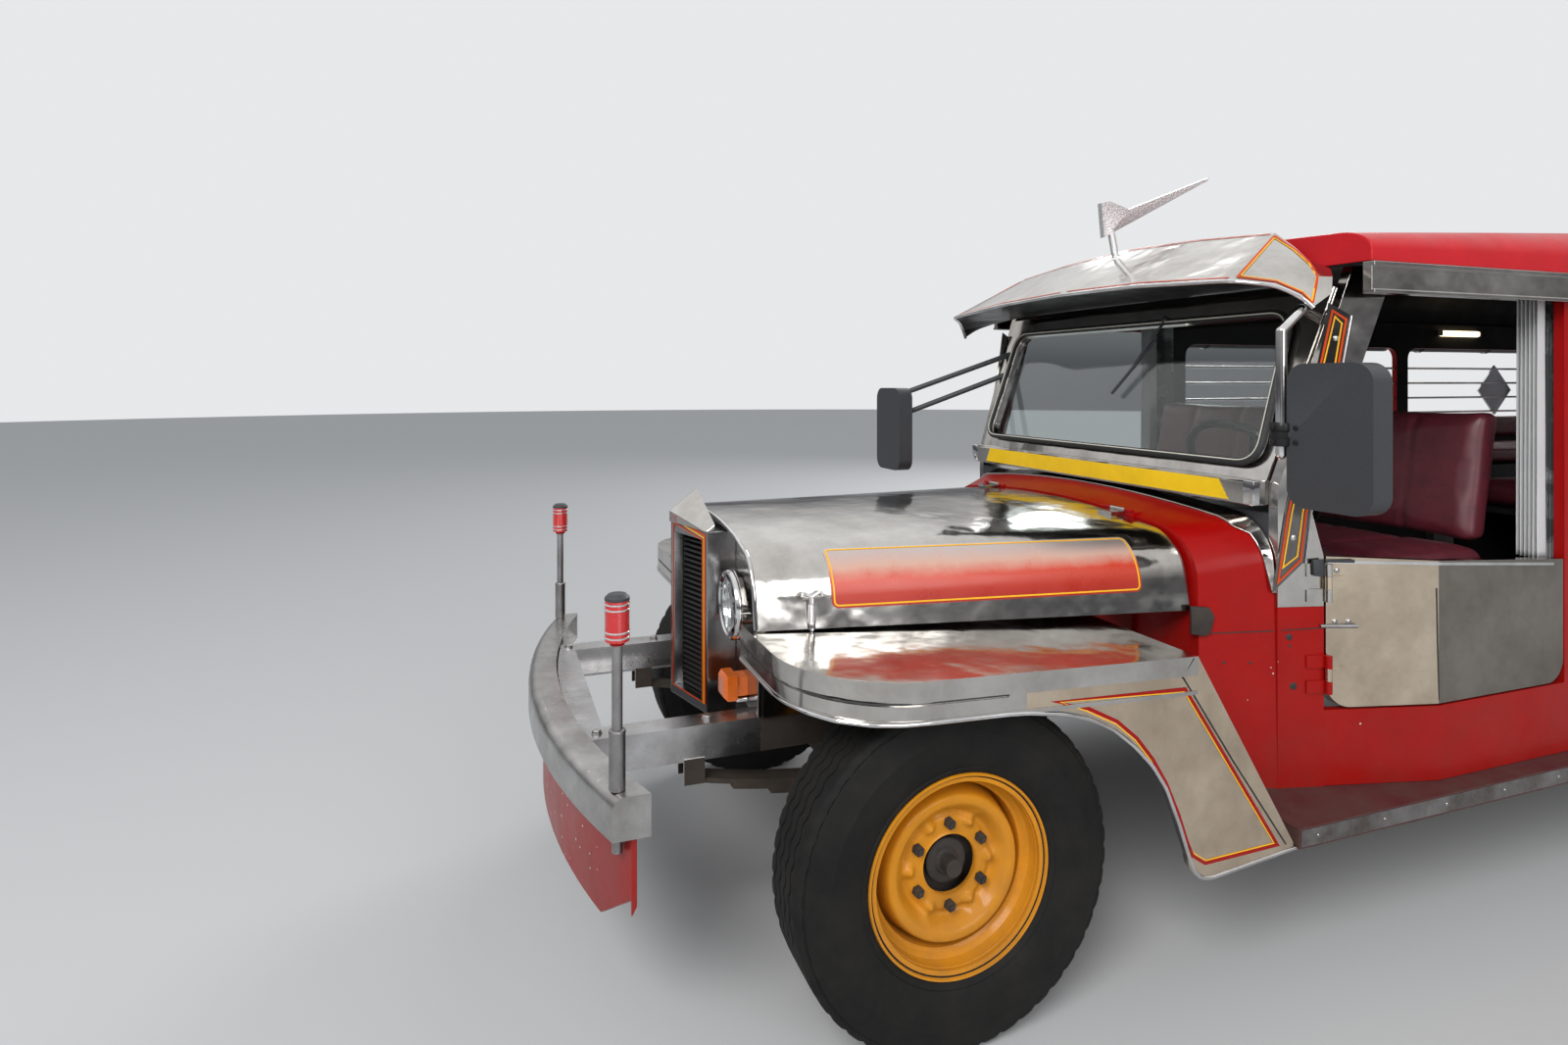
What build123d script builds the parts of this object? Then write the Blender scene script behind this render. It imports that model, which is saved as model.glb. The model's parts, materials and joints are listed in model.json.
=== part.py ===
from build123d import *
import os
from math import atan2, cos, degrees, radians, sin, tan

os.makedirs("parts", exist_ok=True)

# A passenger jeepney. Lengths are millimetres. Every piece is drawn with X forward from the front
# axle, Y to the driver's left and Z up from the ground, and is moved to the shared origin, the
# middle of the whole length on the ground, when it is saved.

# Overall sizes and running gear
overall_length = 6500.0
front_overhang = 868.0
rear_overhang_past_body = 232.0
body_half = 835.0
wheelbase = 3760.0
tyre_radius = 390.0
tyre_width = 196.0
rim_radius = 225.0
rim_half_width = 82.0
bead_radius = 205.0
wheel_hole_radius = 66.0
stud_circle = 184.0
stud_count = 6
stud_radius = 9.0
front_tyre_y = body_half - 117.0
rear_outer_tyre_y = body_half - 115.0
rear_inner_tyre_y = rear_outer_tyre_y - 212.0
kingpin_y = body_half - 215.0

# Sheet thicknesses and gaps
seat_gap = 0.3
panel_gap = 6.0
sheet = 12.0
wall = 28.0

# Ladder frame
rail_y = 350.0
rail_width = 70.0
rail_sheet = 7.0
rail_top = 630.0
horn_depth = 86.0
mid_depth = 140.0
rear_depth = 70.0
crossmember_width = 60.0
deck_bolt_radius = 7.0
deck_bolt_x = (460.0, 731.0)
deck_rear_x = 714.0
deck_gap = 4.0

# Bumper and its guide poles
bumper_half_width = 710.0
bumper_bow = 123.0
bumper_height = 88.0
bumper_depth = 78.0
bumper_top = 641.0
bumper_sheet = 6.0
valance_bottom = 330.0
valance_back = 40.0
pole_y = bumper_half_width - 39.0
pole_inset = 28.5
pole_radius = 11.0
pole_bottom = 513.0
sleeve_radius = 17.0
sleeve_top = 758.0
lamp_radius = 25.0
lamp_bottom = 945.0
lamp_height = 96.0

# Grille, nose and lamps
grille_prow = 476.0
grille_side_x = 421.0
grille_half_width = 200.0
grille_bottom = 580.0
grille_side_top = 1069.0
grille_prow_top = 1101.0
grille_border = 26.0
louvre_count = 30
louvre_thickness = 7.0
cap_peak_x = 412.0
cap_peak_z = 1155.0
cap_overhang = 5.0
nose_x = 340.0
headlamp_y = 300.0
headlamp_z = 897.0
headlamp_radius = 90.0
headlamp_depth = 48.0
signal_y = 284.0
signal_z = 684.0
signal_half_width = 34.0
signal_half_height = 32.0

# Hood, from its front rim to its rear edge
hood_front_x = 370.0
hood_rear_x = -820.0
hood_front_half = 478.0
hood_rear_half = 613.0
hood_front_bottom = 874.0
hood_rear_bottom = 852.0
hood_front_top = 1098.0
hood_rear_top = 1090.0
hood_hinge_radius = 5.5
hood_hinge_y = 330.0
hood_hinge_half = 30.0
hood_hinge_leaf = 46.0

# Front fenders
fender_outer = body_half + 53.0
fender_inner = 395.0
fender_front_x = 385.0
fender_rear_x = -572.0
fender_corner = 250.0
fender_top_at_axle = 858.0
fender_slope = 2.0
lip_depth = 88.0
lip_upper_band = 44.0
lip_seam = 6.0
lip_sheet = 16.0
skirt_foot_x = -600.0
skirt_heel_x = -878.0
skirt_foot_z = 316.0
skirt_heel_z = 338.0

# Body plan: the cowl flares out to a crease in the door, and runs straight behind it
cowl_front_x = -832.0
cowl_front_half = 640.0
cowl_rear_x = -1010.0
cowl_rear_half = 722.0
crease_x = -1462.0
body_rear_x = front_overhang - overall_length + rear_overhang_past_body
body_bottom = 388.0
cowl_front_top = 1094.0
cowl_rear_top = 1140.0
side_seam_z = 870.0

# Doors
door_front_x = -1144.0
door_rear_x = -1993.0
door_bottom = 597.0
door_top_front = 1004.0
door_top_rear = 954.0
door_corner = 70.0
hinge_radius = 9.0

# Windshield, leaning back
glass_low_x = -1020.0
glass_low_z = 1242.0
glass_high_x = -1169.0
glass_high_z = 1665.0
glass_low_half = 663.0
glass_high_half = 647.0
glass_corner = 70.0
glass_thickness = 6.0
post_low_z = 1124.0
post_width = 95.0
apron_front_x = -955.0
apron_tip_z = 910.0

# Roof, its side band and the visor
roof_front_x = -1172.0
roof_half = body_half + 25.0
roof_rim_z = 1785.0
roof_shoulder_z = 1850.0
roof_crown = 1997.0
roof_wall = 26.0
fascia_bottom = 1702.0
visor_lip_x = -870.0
visor_ridge_x = -1150.0
visor_lip_z = 1770.0
visor_lip_end_z = 1735.0
visor_ridge_z = 1940.0
visor_ridge_end_z = 1905.0
visor_half = body_half - 90.0
visor_shoulder_y = 560.0

# Passenger sides
window_sill = 1235.0
window_head = 1650.0
window_corner = 60.0
first_bay_x = -2215.0
bay_post = 85.0
bay_count = 2
rear_post = 200.0
bay_length = (first_bay_x - body_rear_x - rear_post - bay_post * (bay_count - 1)) / bay_count
arch_radius = 455.0
rod_radius = 6.0
rod_count = 4
floor_sheet = 22.0
entry_half = 330.0
entry_head = 1690.0
bench_height = 400.0
bench_depth = 385.0
cushion_thickness = 90.0

# Running boards and rear step
board_outer = body_half + 60.0
board_inner = body_half - 145.0
board_thickness = 50.0
step_z = 430.0
step_half = 420.0

axle_x = overall_length / 2 - front_overhang
rear_end_x = front_overhang - overall_length
rear_axle_x = -wheelbase
axle_z = tyre_radius
bow_radius = (bumper_half_width ** 2 + bumper_bow ** 2) / (2 * bumper_bow)
floor_z = rail_top + seat_gap
floor_top = floor_z + floor_sheet
full_turn = 360.0


def bow_x(y):
    """Foremost x of the bowed bumper at y."""
    return front_overhang - bow_radius + (bow_radius ** 2 - y ** 2) ** 0.5


pole_x = bow_x(pole_y) - pole_inset


def box(x0, x1, y0, y1, z0, z1):
    """A block between two corners."""
    size = Box(abs(x1 - x0), abs(y1 - y0), abs(z1 - z0))
    return Pos((x0 + x1) / 2, (y0 + y1) / 2, (z0 + z1) / 2) * size


def plan_prism(points, z0, z1):
    """A prism over an outline given as (x, y) points."""
    return extrude(Plane.XY.offset(z0) * Polygon(*points, align=None), z1 - z0, dir=(0, 0, 1))


def side_prism(points, y0, y1):
    """A prism across the vehicle over an outline given as (x, z) points."""
    plane = Plane(origin=(0, y1, 0), x_dir=(1, 0, 0), z_dir=(0, -1, 0))
    return extrude(plane * Polygon(*points, align=None), y1 - y0, dir=(0, -1, 0))


def end_plane(x):
    """The upright plane across the vehicle at x, with Y to its right and Z up."""
    return Plane(origin=(x, 0, 0), x_dir=(0, 1, 0), z_dir=(1, 0, 0))


def end_prism(points, x0, x1):
    """A prism along the vehicle over an outline given as (y, z) points."""
    return extrude(end_plane(x0) * Polygon(*points, align=None), x1 - x0, dir=(1, 0, 0))


def rod(start, end, radius):
    """A round bar from one point to another."""
    line = Vector(*end) - Vector(*start)
    return extrude(Plane(origin=start, z_dir=line) * Circle(radius), line.length, dir=line)


def cross_rod(x, z, y0, y1, radius):
    """A round bar across the vehicle."""
    return rod((x, y0, z), (x, y1, z), radius)


def other_side(shape):
    """The same piece, or list of pieces, on the right side."""
    if isinstance(shape, list):
        return [mirror(solid, about=Plane.XZ) for solid in shape]
    return mirror(shape, about=Plane.XZ)


def group(*shapes):
    """Several separate solids as one list."""
    solids = []
    for shape in shapes:
        solids += shape if isinstance(shape, list) else list(shape.solids())
    return solids


def pair(shape):
    """Left and right pieces as one list of separate solids."""
    return group(shape, other_side(shape))


def moved_solids(shape, x):
    """The solids of a piece, or of a list, moved along the vehicle."""
    return [Solid((Pos(x, 0, 0) * solid).wrapped) for solid in group(shape)]


def save(name, shape):
    """Write one piece in the shared frame."""
    export_step(Compound(moved_solids(shape, axle_x)), f"parts/{name}.step")


def flare_y(x, inset=0.0):
    """Half width of the body side at x, less an inset."""
    if x > cowl_rear_x:
        share = (cowl_front_x - x) / (cowl_front_x - cowl_rear_x)
        return cowl_front_half + share * (cowl_rear_half - cowl_front_half) - inset
    if x > crease_x:
        share = (cowl_rear_x - x) / (cowl_rear_x - crease_x)
        return cowl_rear_half + share * (body_half - cowl_rear_half) - inset
    return body_half - inset


def side_band(x0, x1, z0, z1, thickness=wall, skin=0.0):
    """The left body wall between two stations, following the flare and the crease."""
    stations = [x0] + [x for x in (cowl_rear_x, crease_x) if x1 < x < x0] + [x1]
    outer = [(x, flare_y(x) + skin) for x in stations]
    inner = [(x, flare_y(x) - thickness) for x in reversed(stations)]
    return plan_prism(outer + inner, z0, z1)


# Hood and nose sections. A section has a flat side, a rounded shoulder and a crowned top.
def hood_section(x, half, bottom, top, inset=0.0):
    half = half - inset
    top = top - inset
    side = [(half, bottom), (half - 12, top - 150)]
    shoulder = (half - 42, top - 82)
    roof_edge = (half - 130, top - 32)
    left = [(-y, z) for y, z in side]
    edges = [
        Line(left[0], left[1]),
        ThreePointArc(left[1], (-shoulder[0], shoulder[1]), (-roof_edge[0], roof_edge[1])),
        ThreePointArc((-roof_edge[0], roof_edge[1]), (0, top), roof_edge),
        ThreePointArc(roof_edge, shoulder, side[1]),
        Line(side[1], side[0]),
        Line(side[0], left[0]),
    ]
    return end_plane(x) * make_face(edges)


def hood_half_at(x, front, rear):
    """A hood size that runs straight from its front value to its rear value."""
    share = (hood_front_x - x) / (hood_front_x - hood_rear_x)
    return front + share * (rear - front)


def hood_solid(inset, bottom_drop, front_x, rear_x):
    sections = []
    for x in (front_x, rear_x):
        half = hood_half_at(x, hood_front_half, hood_rear_half)
        bottom = hood_half_at(x, hood_front_bottom, hood_rear_bottom) - bottom_drop
        top = hood_half_at(x, hood_front_top, hood_rear_top)
        sections.append(hood_section(x, half, bottom, top, inset))
    return loft(sections)


hood = hood_solid(0, 0, hood_front_x, hood_rear_x)
hood -= hood_solid(sheet, 40, hood_front_x + 40, hood_rear_x - 40)
hood_hinge_x = (hood_rear_x + cowl_front_x) / 2
hood_hinge_z = hood_rear_top - 1.0
for side in (-1, 1):
    y = side * hood_hinge_y
    low = y - hood_hinge_half
    high = y + hood_hinge_half
    hood += box(hood_hinge_x, hood_rear_x + hood_hinge_leaf, low, high, hood_rear_top - 26, hood_hinge_z - 4)
    hood += cross_rod(hood_hinge_x, hood_hinge_z, low, high, hood_hinge_radius)
latch_x = 235.0
latch_height = 74.0
latch_grip = 24.0
latch_bottom = hood_half_at(latch_x, hood_front_bottom, hood_rear_bottom) + 4
for side in (-1, 1):
    latch_y = hood_half_at(latch_x, hood_front_half, hood_rear_half)
    foot = (latch_x, side * (latch_y + 4), latch_bottom)
    head = (latch_x, side * (latch_y - 6), latch_bottom + latch_height)
    hood += rod(foot, head, 9)
    hood += rod((latch_x - latch_grip, head[1], head[2]), (latch_x + latch_grip, head[1], head[2]), 7)
save("hood", hood)


# Ladder frame: two channel rails, crossmembers, a deck plate behind the bumper and the spring hangers
rail_outer = rail_y + rail_width / 2
rail_inner = rail_y - rail_width / 2
horn_length = bow_x(rail_outer) - bumper_depth - seat_gap
mid_start_x = -780.0
rear_sweep_x = rear_axle_x + 960.0
rail_sweep = 200.0


def rail_outline(inset):
    top = rail_top - inset
    return [
        (horn_length, rail_top - horn_depth + inset),
        (horn_length, top),
        (body_rear_x, top),
        (body_rear_x, rail_top - rear_depth + inset),
        (rear_sweep_x - rail_sweep, rail_top - rear_depth + inset),
        (rear_sweep_x, rail_top - mid_depth + inset),
        (mid_start_x, rail_top - mid_depth + inset),
        (mid_start_x + rail_sweep, rail_top - horn_depth + inset),
    ]


rail = side_prism(rail_outline(0), rail_inner, rail_outer)
rail -= side_prism(rail_outline(rail_sheet), rail_inner - 1, rail_outer - rail_sheet)
frame = rail + other_side(rail)
deck_end_x = horn_length + seat_gap - deck_gap
deck_middle_x = front_overhang - bumper_depth - deck_gap
deck_edges = [
    ThreePointArc((deck_end_x, -rail_outer), (deck_middle_x, 0), (deck_end_x, rail_outer)),
    Line((deck_end_x, rail_outer), (deck_rear_x, rail_outer)),
    Line((deck_rear_x, rail_outer), (deck_rear_x, -rail_outer)),
    Line((deck_rear_x, -rail_outer), (deck_end_x, -rail_outer)),
]
deck_plane = Plane.XY.offset(rail_top - rail_sheet)
frame += extrude(deck_plane * make_face(deck_edges), rail_sheet, dir=(0, 0, 1))
radiator_x = 300.0
engine_mount_x = 60.0
crossmember_x = (radiator_x, engine_mount_x, -930.0, -1750.0, -2600.0, -3180.0, -4330.0, body_rear_x + 60)
for x in crossmember_x:
    frame += box(x - crossmember_width / 2, x + crossmember_width / 2, -rail_outer + rail_sheet,
                 rail_outer - rail_sheet, rail_top - rear_depth + rail_sheet, rail_top - rail_sheet)

# Leaf springs: x of the axle, half length, height of the pack's underside over the axle, arch
spring_width = 60.0
leaf_thickness = 12.0
leaf_count = 4
eye_radius = 20.0
pin_radius = 9.0
beam_top = 398.0
axle_tube_radius = 52.0
spring_rows = [
    # axle x, half length, lowest z, rail depth above the eyes
    (0.0, 500.0, beam_top + seat_gap, horn_depth),
    (rear_axle_x, 600.0, axle_z + axle_tube_radius + seat_gap, rear_depth),
]
eye_drop = 34.0
ear_half = 26.0
hanger_sheet = 7.5
hanger_inner = rail_y - spring_width / 2 - 8.0
hanger_outer = rail_y + spring_width / 2 + 8.0


def spring_pack(x, half, low, eye_z):
    """Curved leaves, each shorter than the one above, under a main leaf with rolled eyes."""
    arch = eye_z - eye_radius - (low + leaf_thickness * (leaf_count - 1))
    radius = (half * half + arch * arch) / (2 * arch)
    centre_z = low + leaf_thickness * (leaf_count - 1) + radius
    plane = Plane(origin=(x, rail_y + spring_width / 2, centre_z), x_dir=(1, 0, 0), z_dir=(0, -1, 0))
    pack = None
    for leaf in range(leaf_count):
        reach = half * (1 - 0.2 * leaf)
        outer = radius + leaf * leaf_thickness
        ring = Circle(outer) - Circle(outer - leaf_thickness)
        window = Pos(0, -outer) * Rectangle(2 * reach, outer)
        leaf_solid = extrude(plane * (ring & window), spring_width, dir=(0, -1, 0))
        pack = leaf_solid if pack is None else pack + leaf_solid
    for eye_x in (x - half, x + half):
        pack += cross_rod(eye_x, eye_z, rail_y - spring_width / 2, rail_y + spring_width / 2, eye_radius)
        pack -= cross_rod(eye_x, eye_z, rail_inner, rail_outer, pin_radius + seat_gap)
    return pack


springs = []
for x, half, low, depth in spring_rows:
    eye_z = rail_top - depth - eye_drop
    springs.append(spring_pack(x, half, low, eye_z))
    for pin_x in (x - half, x + half):
        ears = box(pin_x - ear_half, pin_x + ear_half, hanger_inner, hanger_outer,
                   eye_z - eye_radius - 2, rail_top - depth + rail_sheet)
        ears -= box(pin_x - ear_half - 1, pin_x + ear_half + 1, hanger_inner + hanger_sheet,
                    hanger_outer - hanger_sheet, eye_z - 60, rail_top - depth)
        ears += cross_rod(pin_x, eye_z, hanger_inner, hanger_outer, pin_radius)
        frame += ears + other_side(ears)
for x in deck_bolt_x:
    for y in (-rail_y, rail_y):
        frame -= rod((x, y, rail_top - rail_sheet - 1), (x, y, rail_top + 1), deck_bolt_radius)
save("frame_rails", frame)
save("leaf_springs", pair(springs[0] + springs[1]))

# Front axle beam with a kingpin boss at each end
boss_radius = 28.0
boss_low = 350.0
boss_high = 430.0
kingpin_radius = 14.0
beam_depth = 62.0
beam_width = 54.0
beam_flat = 400.0
beam_half = [
    # y, z outline of the dropped beam's left half
    (0, beam_top - beam_depth), (beam_flat, beam_top - beam_depth), (kingpin_y - 20, boss_low + 8),
    (kingpin_y, boss_low + 8), (kingpin_y, boss_high - 12), (kingpin_y - 30, boss_high - 12),
    (beam_flat + 40, beam_top), (0, beam_top),
]
beam = end_prism(beam_half, -beam_width / 2, beam_width / 2)
beam = beam + other_side(beam)
for side in (-1, 1):
    beam += rod((0, side * kingpin_y, boss_low), (0, side * kingpin_y, boss_high), boss_radius)
    beam -= rod((0, side * kingpin_y, boss_low - 1), (0, side * kingpin_y, boss_high + 1), kingpin_radius + 0.1)
save("front_axle", beam)

# Steering knuckles: two ears round the boss, kingpin, spindle and steering arm
ear_sheet = 18.0
spindle_radius = 20.0
spindle_end = front_tyre_y + 48.0
plate_y = kingpin_y + boss_radius + 2.0
plate_sheet = 14.0
arm_length = 150.0
arm_half = 18.0
arm_top = boss_low - 1.0
arm_low = arm_top - ear_sheet
tie_pin_radius = 8.0
tie_pin_height = 28.0
knuckle = box(-42, 42, plate_y, plate_y + plate_sheet, arm_low, boss_high + ear_sheet + 1)
for z in (arm_low, boss_high + 1):
    knuckle += rod((0, kingpin_y, z), (0, kingpin_y, z + ear_sheet), boss_radius)
    knuckle += box(-boss_radius, boss_radius, kingpin_y, plate_y, z, z + ear_sheet)
knuckle += rod((0, kingpin_y, boss_low - 1), (0, kingpin_y, boss_high + 1), kingpin_radius)
knuckle += rod((0, plate_y, axle_z), (0, spindle_end, axle_z), spindle_radius)
arm_outline = [
    (0, kingpin_y - boss_radius), (-arm_length, kingpin_y - arm_half),
    (-arm_length, kingpin_y + arm_half), (0, kingpin_y + boss_radius),
]
knuckle += plan_prism(arm_outline, arm_low, arm_top)
knuckle += rod((-arm_length, kingpin_y, arm_low), (-arm_length, kingpin_y, arm_top), arm_half)
pin_top = arm_top + tie_pin_height
knuckle += rod((-arm_length, kingpin_y, arm_top), (-arm_length, kingpin_y, pin_top), tie_pin_radius)
save("left_knuckle", knuckle)
save("right_knuckle", other_side(knuckle))

# Tie rod on top of the two steering arms
tie_rod_radius = 13.0
tie_eye_radius = 20.0
tie_rod_height = boss_low + tie_rod_radius
tie_rod = cross_rod(-arm_length, tie_rod_height, -kingpin_y, kingpin_y, tie_rod_radius)
for side in (-1, 1):
    low = (-arm_length, side * kingpin_y, arm_top + seat_gap)
    high = (-arm_length, side * kingpin_y, pin_top - 2)
    tie_rod += rod(low, high, tie_eye_radius)
    tie_rod -= rod((low[0], low[1], low[2] - 1), (high[0], high[1], high[2] + 1), tie_pin_radius + 0.1)
save("tie_rod", tie_rod)

# Rear axle: a tube, the differential housing and a spindle at each end
rear_spindle_radius = 38.0
rear_tube_end = rear_inner_tyre_y - rim_half_width + 2.0
rear_spindle_end = rear_outer_tyre_y - 30.0
differential_radius = 150.0
differential_half = 95.0
rear_axle = cross_rod(rear_axle_x, axle_z, -rear_tube_end, rear_tube_end, axle_tube_radius)
rear_axle += cross_rod(rear_axle_x, axle_z, -rear_spindle_end, rear_spindle_end, rear_spindle_radius)
banjo = rod((rear_axle_x - differential_half, 0, axle_z), (rear_axle_x + differential_half, 0, axle_z),
            differential_radius)
rear_axle += chamfer(banjo.edges().filter_by(GeomType.CIRCLE), 45)
nose_length = 230.0
rear_axle += rod((rear_axle_x, 0, axle_z), (rear_axle_x + nose_length, 0, axle_z), 62)
save("rear_axle", rear_axle)

# Engine and gearbox as one plain block, and the radiator
engine_low = 440.0
engine_top = 985.0
engine_front = 190.0
gearbox_rear = -1180.0
engine_half = 200.0
engine_rear = -700.0
radiator_top = 1046.0
over_rails = rail_top - rail_sheet + seat_gap
mount_rear = engine_mount_x - crossmember_width / 2
engine = box(engine_rear, engine_front, -engine_half, engine_half, over_rails, engine_top)
engine += box(engine_rear + 60, mount_rear - 12, -engine_half + 30, engine_half - 30, engine_low, rail_top)
engine += box(gearbox_rear, engine_rear + 100, -120, 120, engine_low + 20, rail_top - rear_depth)
radiator = box(radiator_x - 24, radiator_x + 14, -engine_half, engine_half, over_rails, radiator_top)
radiator += box(radiator_x - 28, radiator_x + 18, -engine_half, engine_half, radiator_top - 46, radiator_top)
save("engine_block", group(engine, radiator))

# Propeller shaft from the gearbox to the differential
shaft_front_z = 505.0
joint_length = 62.0
shaft_front_x = gearbox_rear - seat_gap
shaft_rear_x = rear_axle_x + nose_length + seat_gap
shaft_start = (shaft_front_x - joint_length + 8, 0, shaft_front_z)
shaft_end = (shaft_rear_x + joint_length - 8, 0, axle_z)
shaft = rod(shaft_start, shaft_end, 38)
shaft += rod((shaft_front_x, 0, shaft_front_z), (shaft_front_x - joint_length, 0, shaft_front_z), 52)
shaft += rod((shaft_rear_x, 0, axle_z), (shaft_rear_x + joint_length, 0, axle_z), 50)
save("drive_shaft", shaft)


# Turned rings. Outline points are (radius, distance outward from the mid-plane).
def turned(outline, y):
    """A ring turned about the axle's line at y."""
    plane = Plane(origin=(0, y, axle_z), x_dir=(1, 0, 0), z_dir=(0, 0, 1))
    return revolve(plane * Polygon(*outline, align=None), Axis((0, y, axle_z), (0, 1, 0)), full_turn)


bead_half = rim_half_width - 16.0
bulge_radius = tyre_radius - 95.0
tread_half = tyre_width / 2 - 16.0


def tyre_ring(y):
    """A tyre: bore, side walls that bulge to its full width, and tread."""
    outline = [
        (bead_radius, -bead_half), (bead_radius, bead_half), (bulge_radius, tyre_width / 2),
        (tyre_radius, tread_half), (tyre_radius, -tread_half), (bulge_radius, -tyre_width / 2),
    ]
    return turned(outline, y)


rim_well = 182.0
rim_sheet = 8.0
flange_sheet = 6.0
disc_sheet = 10.0
weld_radius = rim_well + rim_sheet


def rim_barrel(y):
    """A rim: two flanges and seats that fall to a well in the middle."""
    edge = rim_half_width
    inner = edge - flange_sheet
    seat = bead_radius - seat_gap
    seat_end = bead_half - 20
    outline = [
        (rim_radius, edge), (rim_radius, inner), (seat, inner), (seat, seat_end), (rim_well + rim_sheet, 0),
        (seat, -seat_end), (seat, -inner), (rim_radius, -inner), (rim_radius, -edge),
        (seat - rim_sheet, -edge), (rim_well, 0), (seat - rim_sheet, edge),
    ]
    return turned(outline, y)


def studs(y0, y1):
    ring = None
    for index in range(stud_count):
        angle = radians(30 + index * 360 / stud_count)
        x = stud_circle / 2 * cos(angle)
        z = axle_z + stud_circle / 2 * sin(angle)
        stud = cross_rod(x, z, y0, y1, stud_radius)
        ring = stud if ring is None else ring + stud
    return ring


disc_recess = 60.0
front_face = front_tyre_y + rim_half_width - disc_recess
drum_radius = 150.0
hub_radius = 50.0
hub_recess = 8.0
stud_reach = 22.0
bore_slack = 0.1
disc_flat = 122.0
disc_crown = 158.0
front_disc = [
    (wheel_hole_radius, 0), (disc_flat, 0), (disc_crown, 22), (disc_crown + 14, -30), (weld_radius, -44),
    (weld_radius, -56), (disc_crown + 5, -38), (disc_flat, -disc_sheet), (wheel_hole_radius, -disc_sheet),
]
front_wheel = rim_barrel(front_tyre_y) + turned(front_disc, front_face)
drum_inner = plate_y + plate_sheet + 7.0
front_wheel += cross_rod(0, axle_z, drum_inner, front_face - disc_sheet, drum_radius)
front_wheel += cross_rod(0, axle_z, drum_inner, front_face - hub_recess, hub_radius)
front_wheel += studs(front_face - disc_sheet, front_face + stud_reach)
front_wheel -= cross_rod(0, axle_z, drum_inner - 1, spindle_end + 6, spindle_radius + bore_slack)

twin_face = (rear_outer_tyre_y + rear_inner_tyre_y) / 2
outer_rise = rear_outer_tyre_y - twin_face
twin_disc = [
    (wheel_hole_radius, -disc_sheet), (wheel_hole_radius, disc_sheet), (disc_flat, disc_sheet),
    (weld_radius, outer_rise - 12), (weld_radius, outer_rise - 24), (disc_flat + 16, 0),
    (weld_radius, 24 - outer_rise), (weld_radius, 12 - outer_rise), (disc_flat, -disc_sheet),
]
rear_drum_radius = 118.0
rear_wheels = rim_barrel(rear_outer_tyre_y) + rim_barrel(rear_inner_tyre_y) + turned(twin_disc, twin_face)
rear_wheels += cross_rod(0, axle_z, rear_tube_end + 6, twin_face, rear_drum_radius)
rear_wheels += cross_rod(0, axle_z, rear_tube_end + 6, rear_outer_tyre_y + 6, wheel_hole_radius)
rear_wheels += studs(twin_face, twin_face + disc_sheet + stud_reach)
rear_wheels -= cross_rod(0, axle_z, rear_tube_end + 5, rear_spindle_end + 6, rear_spindle_radius + bore_slack)
front_tyre = tyre_ring(front_tyre_y)
rear_tyres = group(tyre_ring(rear_outer_tyre_y), tyre_ring(rear_inner_tyre_y))
for side, flip in (("left", False), ("right", True)):
    for name, piece, x in (
        (f"front_{side}_tyre", front_tyre, 0.0),
        (f"front_{side}_wheel", front_wheel, 0.0),
        (f"rear_{side}_tyres", rear_tyres, rear_axle_x),
        (f"rear_{side}_wheels", rear_wheels, rear_axle_x),
    ):
        placed = moved_solids(piece, x)
        save(name, other_side(placed) if flip else placed)


# Front bumper: a bowed channel, open behind, with the poles standing in its ends
def bow_face(front_x, half, depth):
    """Plan of a band that is bowed forward in the middle."""
    end_x = front_x - bumper_bow
    edges = [
        ThreePointArc((end_x, -half), (front_x, 0), (end_x, half)),
        Line((end_x, half), (end_x - depth, half)),
        ThreePointArc((end_x - depth, half), (front_x - depth, 0), (end_x - depth, -half)),
        Line((end_x - depth, -half), (end_x, -half)),
    ]
    return make_face(edges)


bumper_low = bumper_top - bumper_height
crown_radius = 26.0
bumper_face = bow_face(front_overhang, bumper_half_width, bumper_depth)
bumper = extrude(Plane.XY.offset(bumper_low) * bumper_face, bumper_height, dir=(0, 0, 1))
crown_edges = bumper.edges().filter_by(GeomType.CIRCLE).group_by(Axis.Z)[-1].sort_by(Axis.X)[-1:]
bumper = fillet(crown_edges, crown_radius)
hollow_face = bow_face(front_overhang - bumper_sheet, bumper_half_width - bumper_sheet, bumper_depth)
hollow = extrude(Plane.XY.offset(bumper_low + bumper_sheet) * hollow_face, bumper_height - 2 * bumper_sheet,
                 dir=(0, 0, 1))
hollow_edges = hollow.edges().filter_by(GeomType.CIRCLE).group_by(Axis.Z)[-1].sort_by(Axis.X)[-1:]
bumper -= fillet(hollow_edges, crown_radius - bumper_sheet)
for side in (-1, 1):
    hole_low = (pole_x, side * pole_y, bumper_low - 1)
    bumper -= rod(hole_low, (pole_x, side * pole_y, bumper_top + 1), pole_radius + seat_gap)
save("front_bumper", bumper)

pole = rod((pole_x, pole_y, pole_bottom), (pole_x, pole_y, lamp_bottom), pole_radius)
pole += rod((pole_x, pole_y, bumper_top + seat_gap), (pole_x, pole_y, sleeve_top), sleeve_radius)
save("guide_poles", pair(pole))
lamp_top = lamp_bottom + lamp_height
lamp = rod((pole_x, pole_y, lamp_bottom + seat_gap), (pole_x, pole_y, lamp_top), lamp_radius)
save("pole_lamps", pair(chamfer(lamp.edges().group_by(Axis.Z)[-1], 8)))

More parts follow.
